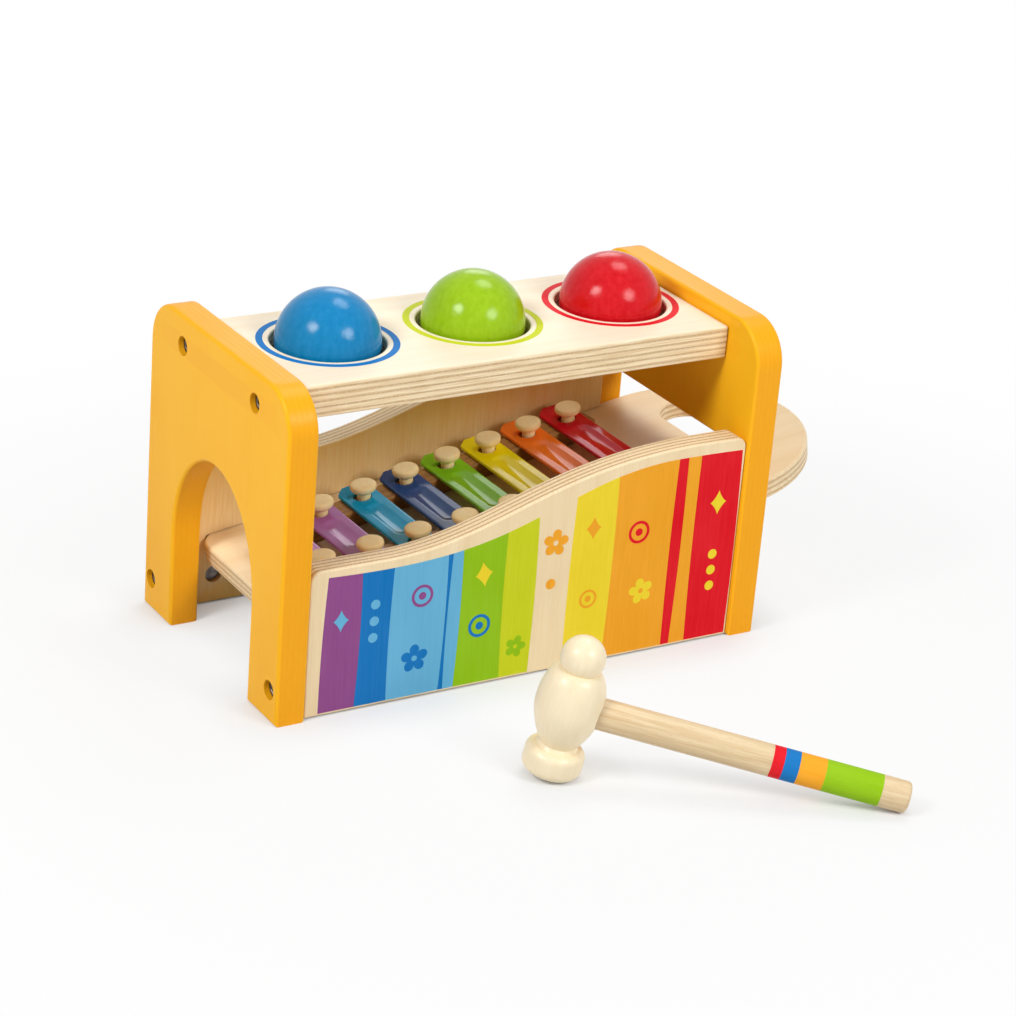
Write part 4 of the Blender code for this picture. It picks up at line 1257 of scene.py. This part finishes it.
class BENCH_OT_side_panels(bpy.types.Operator):
    """Build the wave-topped side panels and print the front one"""

    bl_idname = "pounding_bench.side_panels"
    bl_label = "Side Panels"

    def execute(self, context):
        sizes = context.scene.bench_sizes
        colours = context.scene.bench_colours
        reach = INNER_X - GAP
        groove_place = BENCH.inverted() @ SLOPE @ ALONG
        for side, direction, shift in (("front", -1, 0.0), ("rear", 1, REAR_WAVE_SHIFT)):
            corners = [(-reach, SIDE_LIFT, 0), (reach, SIDE_LIFT, 0)]
            corners.append((reach, SIDE_HIGH_TOP, SIDE_CORNER_RADIUS))
            corners += [(x, z, 0) for x, z in wave_points(reach, shift)]
            corners.append((-reach, SIDE_LOW_TOP, SIDE_CORNER_RADIUS))
            place = Matrix.Translation((0, direction * SIDE_Y, 0)) @ ALONG
            mesh = plate(side + "_side", [rounded_outline(corners)], SIDE_THICKNESS, sizes.side_round)
            cutters = [(groove_mesh(), place.inverted() @ groove_place)]
            cutters += screw_bores(place, (-1, 1), (side,)) + nut_bores(place, side)
            grain_shift = (0.9, direction * 0.4, 0.2)
            mesh = set_grain(carve(mesh, cutters), 1, 0, grain_shift, SIDE_THICKNESS, SIDE_PLIES)
            # The rear panel's birch tones carry painted shade: darker and more golden than the front's.
            add_piece(
                "birch_" + side + "_side", mesh, [birch_finish(colours, side)], BENCH @ place, "bench",
                side + "_side_panel", even_normals=True,
            )
        place = BENCH @ Matrix.Translation((0, -SIDE_Y, 0)) @ ALONG
        for name, maker in (("printed_stripes", stripe_films), ("printed_ornaments", ornament_films)):
            work = bmesh.new()
            maker(work, sizes)
            mesh = set_grain(close_mesh(work, name), 1, 0, (0.9, -0.4, 0.2))
            add_piece(name, mesh, [ink(colours, each) for each in PRINT_INKS], place, "bench")
        return {"FINISHED"}


class BENCH_OT_fasteners(bpy.types.Operator):
    """Build the socket screws and the barrel nuts that hold the bench together"""

    bl_idname = "pounding_bench.fasteners"
    bl_label = "Screws and Nuts"

    def screw(self):
        """A socket screw pointing up, with its head's top at height 0."""
        end = SCREW_HEAD_HEIGHT + END_THICKNESS - COUNTERBORE_DEPTH + NUT_FROM_END + SCREW_PAST_NUT
        chamfer = SCREW_CHAMFER
        profile = [
            (0, end), (SCREW_RADIUS - chamfer, end), (SCREW_RADIUS, end - chamfer),
            (SCREW_RADIUS, SCREW_HEAD_HEIGHT), (SCREW_HEAD_RADIUS, SCREW_HEAD_HEIGHT),
            (SCREW_HEAD_RADIUS, chamfer), (SCREW_HEAD_RADIUS - chamfer, 0), (0, 0),
        ]
        corner = SCREW_SOCKET / math.sqrt(3)
        rim = corner + chamfer
        socket = [
            (0, SCREW_SOCKET_DEPTH), (corner, SCREW_SOCKET_DEPTH), (corner, chamfer),
            (rim, 0), (rim, -CUT_MARGIN), (0, -CUT_MARGIN),
        ]
        cutter = turned("socket", socket, SOCKET_SIDES)
        return carve(turned("screw", profile, BORE_STEPS), [(cutter, Matrix())])

    def nut(self):
        """A barrel nut standing on Z, with its thread's hole along X."""
        half = NUT_LENGTH / 2
        chamfer = NUT_CHAMFER
        profile = [
            (0, half), (NUT_RADIUS - chamfer, half), (NUT_RADIUS, half - chamfer),
            (NUT_RADIUS, chamfer - half), (NUT_RADIUS - chamfer, -half), (0, -half),
        ]
        hole = bore("nut_hole", [(SCREW_RADIUS + GAP, -2 * NUT_RADIUS, 2 * NUT_RADIUS)])
        turn = Matrix.Rotation(math.pi / 2, 4, "Y")
        return carve(turned("nut", profile, BORE_STEPS), [(hole, turn)])

    def execute(self, context):
        metal = steel_finish(context.scene.bench_colours)
        screw = self.screw()
        nut = self.nut()
        head_top = COUNTERBORE_DEPTH - GAP - SCREW_HEAD_HEIGHT
        count = 0
        for end, direction in ENDS:
            inward = Matrix.Rotation(-direction * math.pi / 2, 4, "Y")
            for spot, y, z, carrier in fastener_spots():
                count += 1
                pair = (
                    ("socket_screw", "screw", screw, HALF_LENGTH - head_top, inward),
                    ("barrel_nut", "nut", nut, INNER_X - NUT_FROM_END, nut_turn(carrier)),
                )
                for kind, node, shape, along, turn in pair:
                    there = BENCH @ Matrix.Translation((direction * along, y, z)) @ turn
                    mesh = set_grain(shape.copy(), 2, 0, (FASTENER_SHIFT * count, 0.0, 0.0))
                    add_piece(
                        f"{end}_{spot}_{kind}", mesh, [metal], there, "bench",
                        f"{end}_{spot}_{node}", even_normals=True,
                    )
        return {"FINISHED"}


class BENCH_OT_balls(bpy.types.Operator):
    """Build the three lacquered balls and the rubber rings that hold them"""

    bl_idname = "pounding_bench.balls"
    bl_label = "Balls and Rings"

    def ball_profile(self):
        """A turned ball with the small flats that the lathe leaves at its two ends."""
        profile = [(0, BALL_RADIUS)]
        steps = BALL_STEPS // 2
        first = math.asin(BALL_FLAT / BALL_RADIUS)
        for step in range(steps + 1):
            angle = first + (math.pi - 2 * first) * step / steps
            profile.append((BALL_RADIUS * math.sin(angle), BALL_RADIUS * math.cos(angle)))
        profile.append((0, -BALL_RADIUS))
        return profile

    def ring_profile(self):
        depth = TOP_THICKNESS - RING_LIP_HEIGHT
        level = math.sqrt(BALL_RADIUS ** 2 - depth ** 2)
        lip = level + GAP * BALL_RADIUS / level
        wall = RING_RADIUS - RING_WALL
        tip = arc(
            (lip + RING_LIP_THICKNESS / 2, RING_LIP_HEIGHT - RING_LIP_THICKNESS / 2),
            RING_LIP_THICKNESS / 2, 270, 90, RING_TIP_STEPS,
        )
        profile = [(RING_RADIUS, RING_HEIGHT), (RING_RADIUS, 0), (wall, 0)]
        profile.append((wall, RING_LIP_HEIGHT - 2 * RING_LIP_THICKNESS))
        profile += tip
        profile.append((wall, RING_HEIGHT))
        return profile

    def execute(self, context):
        colours = context.scene.bench_colours
        rubber = rubber_finish(colours)
        for count, (name, x, y) in enumerate(ball_spots()):
            lacquer = lacquer_finish(name + " lacquer", getattr(colours, "ball_" + name))
            mesh = turned(name + "_turned_ball", self.ball_profile(), BALL_STEPS)
            set_grain(mesh, 2, 0, (0.2 * count, 0.1 * count, 0.0))
            there = BENCH @ Matrix.Translation((x, y, TOP_SURFACE))
            body = name + "_ball"
            add_piece(
                name + "_lacquered_ball", mesh, [lacquer], there, body, body
            )
            mesh = turned(name + "_ring", self.ring_profile(), HOLE_STEPS, closed=True)
            set_grain(mesh, 0, 1, (0.1 * count, 0.0, 0.0))
            there = BENCH @ Matrix.Translation((x, y, TOP_UNDERSIDE))
            add_piece(
                name + "_rubber_ring", mesh, [rubber], there, "bench",
                name + "_ball_ring",
            )
        return {"FINISHED"}


# Xylophone

def bar_spot(index):
    """Where bar number index crosses the board, and half the span of its pegs."""
    last = len(BAR_NAMES) - 1
    span = SHORTEST_PEG_SPAN + (LONGEST_PEG_SPAN - SHORTEST_PEG_SPAN) * index / last
    return FIRST_BAR + BAR_PITCH * index, span / 2


class BENCH_OT_slide_board(bpy.types.Operator):
    """Build the sliding board and the two rails that carry the bars"""

    bl_idname = "pounding_bench.slide_board"
    bl_label = "Slide Board and Rails"

    def execute(self, context):
        sizes = context.scene.bench_sizes
        colours = context.scene.bench_colours
        end_centre = BOARD_RIGHT_END - BOARD_HALF
        outline = rounded_outline([
            (end_centre, BOARD_HALF, 0),
            (BOARD_LEFT_END, BOARD_HALF, BOARD_CORNER_RADIUS),
            (BOARD_LEFT_END, -BOARD_HALF, BOARD_CORNER_RADIUS),
            (end_centre, -BOARD_HALF, 0),
        ])
        outline += arc((end_centre, 0), BOARD_HALF - ROUND_EASE, -90, 90, BOARD_END_STEPS)[1:-1]
        right = BOARD_RIGHT_END - HANDLE_RIM
        half = FINGER_SLOT_LENGTH / 2
        left = right - FINGER_SLOT_WIDTH
        corner = FINGER_SLOT_WIDTH / 2 - 2 * WELD
        slot = rectangle(left, -half, right, half, corner, FINGER_SLOT_STEPS)
        mesh = plate("slide_board", [outline, slot], BOARD_THICKNESS, sizes.board_round)
        set_grain(mesh, 0, 1, (0.6, 0.1, 0.7), BOARD_THICKNESS, BOARD_PLIES)
        there = SLOPE @ Matrix.Translation((0, 0, -BOARD_THICKNESS / 2))
        add_piece(
            "birch_slide_board", mesh, [birch_finish(colours, "slide")], there, "xylophone",
            "xylophone_board", even_normals=True,
        )
        last = len(BAR_NAMES) - 1
        step = (LONGEST_PEG_SPAN - SHORTEST_PEG_SPAN) / last / 2
        slant = math.atan2(step, BAR_PITCH)
        pitch = BAR_PITCH / math.cos(slant)
        reach = pitch * last / 2 + RAIL_END_MARGIN
        half = RAIL_WIDTH / 2
        outlines = [rectangle(-reach, -half, reach, half, sizes.rail_round, RAIL_CORNER_STEPS)]
        for index in range(len(BAR_NAMES)):
            outlines.append(circle((pitch * (index - last / 2), 0), PEG_STEM + GAP, BORE_STEPS))
        middle = FIRST_BAR + BAR_PITCH * last / 2
        spread = (SHORTEST_PEG_SPAN + LONGEST_PEG_SPAN) / 4
        # The rails' darker beech is painted shade from the bars above them.
        wood = beech(colours, "rail", 1.0)
        for side, direction in SIDES:
            mesh = plate(side + "_rail", outlines, RAIL_HEIGHT, sizes.rail_round, RAIL_EDGE_STEPS)
            set_grain(mesh, 0, 1, (direction * 0.3, 0.2, 0.5))
            there = SLOPE @ Matrix.Translation((middle, direction * spread, RAIL_BASE + RAIL_HEIGHT / 2))
            there = there @ Matrix.Rotation(direction * slant, 4, "Z")
            add_piece(
                "beech_" + side + "_rail", mesh, [wood], there, "xylophone",
                side + "_bar_rail", even_normals=True,
            )
        return {"FINISHED"}


class BENCH_OT_tone_bars(bpy.types.Operator):
    """Build the eight enamelled bars, each with a pressed flute and two peg holes"""

    bl_idname = "pounding_bench.tone_bars"
    bl_label = "Tone Bars"

    def half_widths(self, half):
        """Half the bar's width at a place along it, from an outline with eased corners."""
        side = BAR_WIDTH / 2
        corners = [
            (side - BAR_CORNER_CUT, half, BAR_END_RADIUS),
            (0, half, 0),
            (0, -half, 0),
            (side - BAR_CORNER_CUT, -half, BAR_END_RADIUS),
            (side, BAR_CORNER_CUT - half, BAR_CORNER_RADIUS),
            (side, half - BAR_CORNER_CUT, BAR_CORNER_RADIUS),
        ]
        points = [point for point in rounded_outline(corners, BAR_CORNER_STEPS) if point[0] > TINY]
        points.sort(key=lambda point: point[1])
        xs, ys = zip(*points)
        return lambda y: float(np.interp(y, ys, xs))

    def bar(self, name, half, peg_y, sizes):
        """A bar along Y on its flat underside: a fine grid above, with eased rims and a flute."""
        width_at = self.half_widths(half)
        rim = sizes.bar_round
        offsets = [share * rim for share in BAR_RIM_SHARES]
        middle = list(np.linspace(-half + 2 * rim, half - 2 * rim, BAR_ROWS))
        rows = [-half + each for each in offsets] + middle + [half - each for each in offsets[::-1]]
        inside = list(np.linspace(-1, 1, BAR_COLUMNS)[1:-1])
        flute_end = peg_y - FLUTE_TO_PEG - FLUTE_WIDTH / 2
        work = bmesh.new()
        grid = []
        for y in rows:
            width = width_at(y)
            columns = [each - width for each in offsets]
            columns += [share * (width - rim) for share in inside]
            columns += [width - each for each in offsets[::-1]]
            line = []
            for x in columns:
                away = min((width - abs(x)) * BAR_RIM_SLANT, half - abs(y))
                drop = rim - math.sqrt(max(0.0, rim ** 2 - max(0.0, rim - away) ** 2))
                past = math.hypot(x, max(0.0, abs(y) - flute_end)) / (FLUTE_WIDTH / 2)
                dip = sizes.flute_depth * (1 - min(1.0, past) ** 2)
                line.append(work.verts.new((x, y, BAR_THICKNESS - drop - dip)))
            grid.append(line)
        for lower, upper in zip(grid, grid[1:]):
            for index in range(len(lower) - 1):
                work.faces.new((lower[index], lower[index + 1], upper[index + 1], upper[index]))
        rim_line = grid[0] + [line[-1] for line in grid[1:-1]] + grid[-1][::-1]
        rim_line += [line[0] for line in grid[-2:0:-1]]
        feet = [work.verts.new((vertex.co.x, vertex.co.y, 0)) for vertex in rim_line]
        count = len(feet)
        for index in range(count):
            after = (index + 1) % count
            work.faces.new((rim_line[index], feet[index], feet[after], rim_line[after]))
        work.faces.new(feet)
        return close_mesh(work, name)

    def execute(self, context):
        sizes = context.scene.bench_sizes
        colours = context.scene.bench_colours
        for index, name in enumerate(BAR_NAMES):
            along, peg_y = bar_spot(index)
            half = (SHORTEST_BAR + (LONGEST_BAR - SHORTEST_BAR) * index / (len(BAR_NAMES) - 1)) / 2
            blank = self.bar(name + "_bar", half, peg_y, sizes)
            hole = [(BAR_HOLE_RADIUS, -CUT_MARGIN, BAR_THICKNESS + CUT_MARGIN)]
            cutters = []
            for sign in (-1, 1):
                cutters.append((bore(name + "_hole", hole), Matrix.Translation((0, sign * peg_y, 0))))
            mesh = set_grain(carve(blank, cutters), 1, 0, (0.11 * index, 0.07 * index, 0.0))
            enamel = enamel_finish(name + " enamel", getattr(colours, "bar_" + name))
            there = SLOPE @ Matrix.Translation((along - BAR_SLIP, 0, BAR_BASE))
            add_piece(
                name + "_enamelled_bar", mesh, [enamel], there, "xylophone",
                name + "_tone_bar",
            )
        return {"FINISHED"}


class BENCH_OT_pegs(bpy.types.Operator):
    """Build the sixteen mushroom pegs that hold the bars"""

    bl_idname = "pounding_bench.pegs"
    bl_label = "Pegs"

    def profile(self):
        rim = BAR_TOP + PEG_NECK + PEG_LIP
        points = []
        for step in range(PEG_DOME_STEPS + 1):
            angle = math.pi / 2 * step / PEG_DOME_STEPS
            out, rise = math.sqrt(math.sin(angle)), math.sqrt(max(0.0, math.cos(angle)))
            points.append((PEG_HEAD * out, rim + PEG_DOME * rise))
        for step in range(1, PEG_FLARE_STEPS + 1):
            angle = math.pi / 2 * step / PEG_FLARE_STEPS
            radius = PEG_STEM + (PEG_HEAD - PEG_STEM) * math.cos(angle)
            points.append((radius, rim - PEG_FLARE * math.sin(angle)))
        return points + [(PEG_STEM, RAIL_BASE), (0, RAIL_BASE)]

    def execute(self, context):
        colours = context.scene.bench_colours
        # The pegs' lighter beech is painted light, making up for the shade they stand in.
        wood = beech(colours, "peg", 0.7)
        for index, name in enumerate(BAR_NAMES):
            along, peg_y = bar_spot(index)
            for side, direction in SIDES:
                mesh = turned(name + "_" + side, self.profile(), PEG_STEPS)
                set_grain(mesh, 2, 0, (0.09 * index, 0.21 * direction, 0.05 * index))
                there = SLOPE @ Matrix.Translation((along, direction * peg_y, 0))
                there = there @ Matrix.Rotation(PEG_TURN * index + direction, 4, "Z")
                add_piece(
                    f"{name}_{side}_mushroom_peg", mesh, [wood], there, "xylophone",
                    f"{name}_{side}_peg",
                )
        return {"FINISHED"}


# Hammer

class BENCH_OT_hammer(bpy.types.Operator):
    """Build the turned hammer head and its banded handle"""

    bl_idname = "pounding_bench.hammer"
    bl_label = "Hammer"

    def head_profile(self):
        """The head's outline from the knob's top down to the striking face."""
        neck_angle = math.degrees(math.asin(-(KNOB_HEIGHT - NECK_HEIGHT) / KNOB_RADIUS))
        profile = arc((0, KNOB_HEIGHT), KNOB_RADIUS, 90, neck_angle, KNOB_STEPS)
        shoulder = NECK_HEIGHT - BARREL_HEIGHT
        for step in range(1, BARREL_STEPS + 1):
            angle = math.pi / 2 * (1 - step / BARREL_STEPS)
            radius = NECK_RADIUS + (BARREL_RADIUS - NECK_RADIUS) * math.cos(angle)
            profile.append((radius, BARREL_HEIGHT + shoulder * math.sin(angle)))
        for step in range(1, BARREL_STEPS + 1):
            t = step / BARREL_STEPS
            radius = WAIST_RADIUS + (BARREL_RADIUS - WAIST_RADIUS) * (1 - t ** BARREL_TAPER)
            profile.append((radius, BARREL_HEIGHT + (WAIST_HEIGHT - BARREL_HEIGHT) * t))
        edge = FACE_RADIUS - FACE_EDGE_ROUND
        upper = (edge, FACE_THICKNESS - FACE_EDGE_ROUND)
        profile += arc(upper, FACE_EDGE_ROUND, 90, 0, FACE_EDGE_STEPS)
        profile += arc((edge, FACE_EDGE_ROUND), FACE_EDGE_ROUND, 0, -90, FACE_EDGE_STEPS)
        profile.append((0, 0))
        return [(max(0.0, radius - HAMMER_EASE), height) for radius, height in profile]

    def handle(self):
        """The handle along Z, with a ring of points at each border of a painted band."""
        outer = HANDLE_RADIUS - HAMMER_EASE
        end = HANDLE_REACH - HAMMER_EASE
        profile = [(0, end)]
        centre = (outer - HANDLE_END_ROUND, end - HANDLE_END_ROUND)
        profile += arc(centre, HANDLE_END_ROUND, 90, 0, HANDLE_END_STEPS)
        profile += [(outer, place * MM) for place, _ in HANDLE_BANDS[::-1]]
        profile += [(outer, HANDLE_TENON_START), (0, HANDLE_TENON_START)]
        mesh = turned("handle", profile, HAMMER_STEPS)
        for face in mesh.polygons:
            height = face.center.z / MM
            for slot, (start, end) in enumerate(zip(HANDLE_BANDS, HANDLE_BANDS[1:]), 1):
                if start[0] < height < end[0]:
                    face.material_index = slot
        return mesh

    def execute(self, context):
        colours = context.scene.bench_colours
        cream = solid_wood_finish(
            "clear lacquered maple", colours.cream_light, colours.cream_dark,
            figure=0.45, coat=0.25, rough=0.34,
        )
        stretches = [
            (HANDLE_RADIUS + SPOT_FACE_LAND, SPOT_FACE_REACH, 2 * BARREL_RADIUS),
            (HANDLE_RADIUS + GAP, HANDLE_TENON_START - GAP, SPOT_FACE_REACH),
        ]
        across = Matrix.Translation((0, 0, HANDLE_HEIGHT)) @ Matrix.Rotation(math.pi / 2, 4, "Y")
        socket = bore("hammer_socket", stretches, HAMMER_STEPS)
        mesh = carve(turned("head", self.head_profile(), HAMMER_STEPS), [(socket, across)])
        set_grain(mesh, 2, 0, (0.3, 0.1, 0.2))
        add_piece(
            "turned_hammer_head", mesh, [cream], HAMMER, "hammer",
            "hammer_head",
        )
        mesh = set_grain(self.handle(), 2, 0, (0.8, 0.4, 0.1))
        finishes = [beech(colours, "handle", 1.0)]
        finishes += [ink(colours, name) for _, name in HANDLE_BANDS[:-1]]
        add_piece(
            "banded_hammer_handle", mesh, finishes, HAMMER @ across, "hammer",
            "hammer_handle",
        )
        return {"FINISHED"}


# Stage

class BENCH_OT_stage(bpy.types.Operator):
    """Set up the pale floor, the soft lamps and the camera"""

    bl_idname = "pounding_bench.stage"
    bl_label = "Stage"

    # Where each lamp stands as seen from the toy, its size in metres and its strength
    LAMPS = (
        ("overhead_lamp", (0.36, 0.20, 0.91), 0.52, 0.28),
        ("left_lamp", (-0.74, -0.19, 0.64), 0.40, 0.58),
        ("front_lamp", (0.26, -0.80, 0.54), 0.46, 0.48),
        ("back_lamp", (0.47, 0.76, 0.45), 0.46, 0.08),
    )
    LAMP_DISTANCE = 1.3
    LAMP_AIM_HEIGHT = 0.1
    FLOOR_HALF = 40.0
    FLOOR_SQUARES = 8
    # The floor's white grows from one share to the other between two distances from the toy
    GLOW_NEAR, GLOW_FAR = 0.2, 0.5
    GLOW_LEAST, GLOW_MOST = 0.84, 1.0
    CONTACT_SHADE_REACH = 0.03
    SENSOR_WIDTH = 36.0

    def floor(self, tint):
        """A pale floor that looks white, but for the shade under and round the toy."""
        work = bmesh.new()
        squares = self.FLOOR_SQUARES
        bmesh.ops.create_grid(work, x_segments=squares, y_segments=squares, size=self.FLOOR_HALF)
        floor = put("floor", close_mesh(work, "floor"))
        f = Finish("pale floor")
        f.set(Base_Color=tint, Roughness=0.9, Specular_IOR_Level=0.0)
        place = f.add("NewGeometry", output="Position")
        away = f.add("VectorMath", {0: place}, output="Value", operation="LENGTH")
        glow = f.between(away, self.GLOW_NEAR, self.GLOW_FAR, self.GLOW_LEAST, self.GLOW_MOST)
        open_sky = f.add("AmbientOcclusion", {"Distance": self.CONTACT_SHADE_REACH}, output="AO")
        white = f.calc("MULTIPLY", f.calc("MULTIPLY", f.seen(), glow), open_sky)
        surface = f.add("MixShader", {0: white, 1: f.shader.outputs[0], 2: f.add("Emission")})
        f.feed(f.tree.nodes["Material Output"].inputs["Surface"], surface)
        floor.data.materials.append(f.material)

    def sky(self, level):
        """An even white sky that lights the toy at a lower level than it shows."""
        world = bpy.data.worlds.new("studio")
        bpy.context.scene.world = world
        world.use_nodes = True
        light = world.node_tree.nodes["Background"]
        light.inputs["Color"].default_value = (1, 1, 1, 1)
        nodes = Nodes(world.node_tree)
        nodes.feed(light.inputs["Strength"], nodes.calc("MULTIPLY_ADD", nodes.seen(), 1 - level, level))

    def lamps(self, level):
        aim = BENCH @ Vector((0, 0, self.LAMP_AIM_HEIGHT))
        for name, towards, size, strength in self.LAMPS:
            towards = Vector(towards).normalized()
            data = bpy.data.lights.new(name, "AREA")
            data.shape = "DISK"
            data.size = size
            data.energy = level * strength * math.pi ** 2 * self.LAMP_DISTANCE ** 2
            lamp = put(name, data)
            lamp.location = aim + towards * self.LAMP_DISTANCE
            lamp.rotation_euler = towards.to_track_quat("Z", "Y").to_euler()

    def camera(self, studio):
        turn, rise, roll = studio.camera_turn, studio.camera_rise, studio.camera_roll
        level = math.cos(rise)
        back = Vector((math.sin(turn) * level, -math.cos(turn) * level, math.sin(rise)))
        right = Vector((math.cos(turn), math.sin(turn), 0))
        up = back.cross(right)
        rolled_right = right * math.cos(roll) + up * math.sin(roll)
        rolled_up = up * math.cos(roll) - right * math.sin(roll)
        data = bpy.data.cameras.new("camera")
        data.sensor_width = self.SENSOR_WIDTH
        data.lens = studio.lens
        camera = put("camera", data)
        turned_to = Matrix((rolled_right, rolled_up, back)).transposed().to_4x4()
        camera.matrix_world = Matrix.Translation(Vector(studio.camera_place)) @ turned_to
        bpy.context.scene.camera = camera

    def execute(self, context):
        studio = context.scene.bench_studio
        context.scene.view_settings.view_transform = "Standard"
        self.floor(studio.floor)
        self.sky(studio.sky)
        self.lamps(studio.lamps)
        self.camera(studio)
        return {"FINISHED"}


OPERATORS = (
    BENCH_OT_end_panels,
    BENCH_OT_top_board,
    BENCH_OT_side_panels,
    BENCH_OT_fasteners,
    BENCH_OT_balls,
    BENCH_OT_slide_board,
    BENCH_OT_tone_bars,
    BENCH_OT_pegs,
    BENCH_OT_hammer,
    BENCH_OT_stage,
)


class BENCH_PT_panel(bpy.types.Panel):
    """Lists the bench's pieces, sizes and colours"""

    bl_idname = "BENCH_PT_panel"
    bl_label = "Pounding Xylophone Bench"
    bl_space_type = "VIEW_3D"
    bl_region_type = "UI"
    bl_category = "Bench"

    def draw(self, context):
        column = self.layout.column()
        for operator in OPERATORS:
            column.operator(operator.bl_idname)
        for group in (context.scene.bench_sizes, context.scene.bench_colours, context.scene.bench_studio):
            for name in group.__annotations__:
                column.prop(group, name)


CLASSES = (BenchSizes, BenchColours, StudioSettings, *OPERATORS, BENCH_PT_panel)


def register():
    for each in CLASSES:
        bpy.utils.register_class(each)
    bpy.types.Scene.bench_sizes = bpy.props.PointerProperty(type=BenchSizes)
    bpy.types.Scene.bench_colours = bpy.props.PointerProperty(type=BenchColours)
    bpy.types.Scene.bench_studio = bpy.props.PointerProperty(type=StudioSettings)


def unregister():
    del bpy.types.Scene.bench_studio
    del bpy.types.Scene.bench_colours
    del bpy.types.Scene.bench_sizes
    for each in reversed(CLASSES):
        bpy.utils.unregister_class(each)


def main():
    register()
    bpy.ops.pounding_bench.end_panels()
    bpy.ops.pounding_bench.top_board()
    bpy.ops.pounding_bench.side_panels()
    bpy.ops.pounding_bench.fasteners()
    bpy.ops.pounding_bench.balls()
    bpy.ops.pounding_bench.slide_board()
    bpy.ops.pounding_bench.tone_bars()
    bpy.ops.pounding_bench.pegs()
    bpy.ops.pounding_bench.hammer()
    bpy.ops.pounding_bench.stage()


if __name__ == "__main__":
    main()
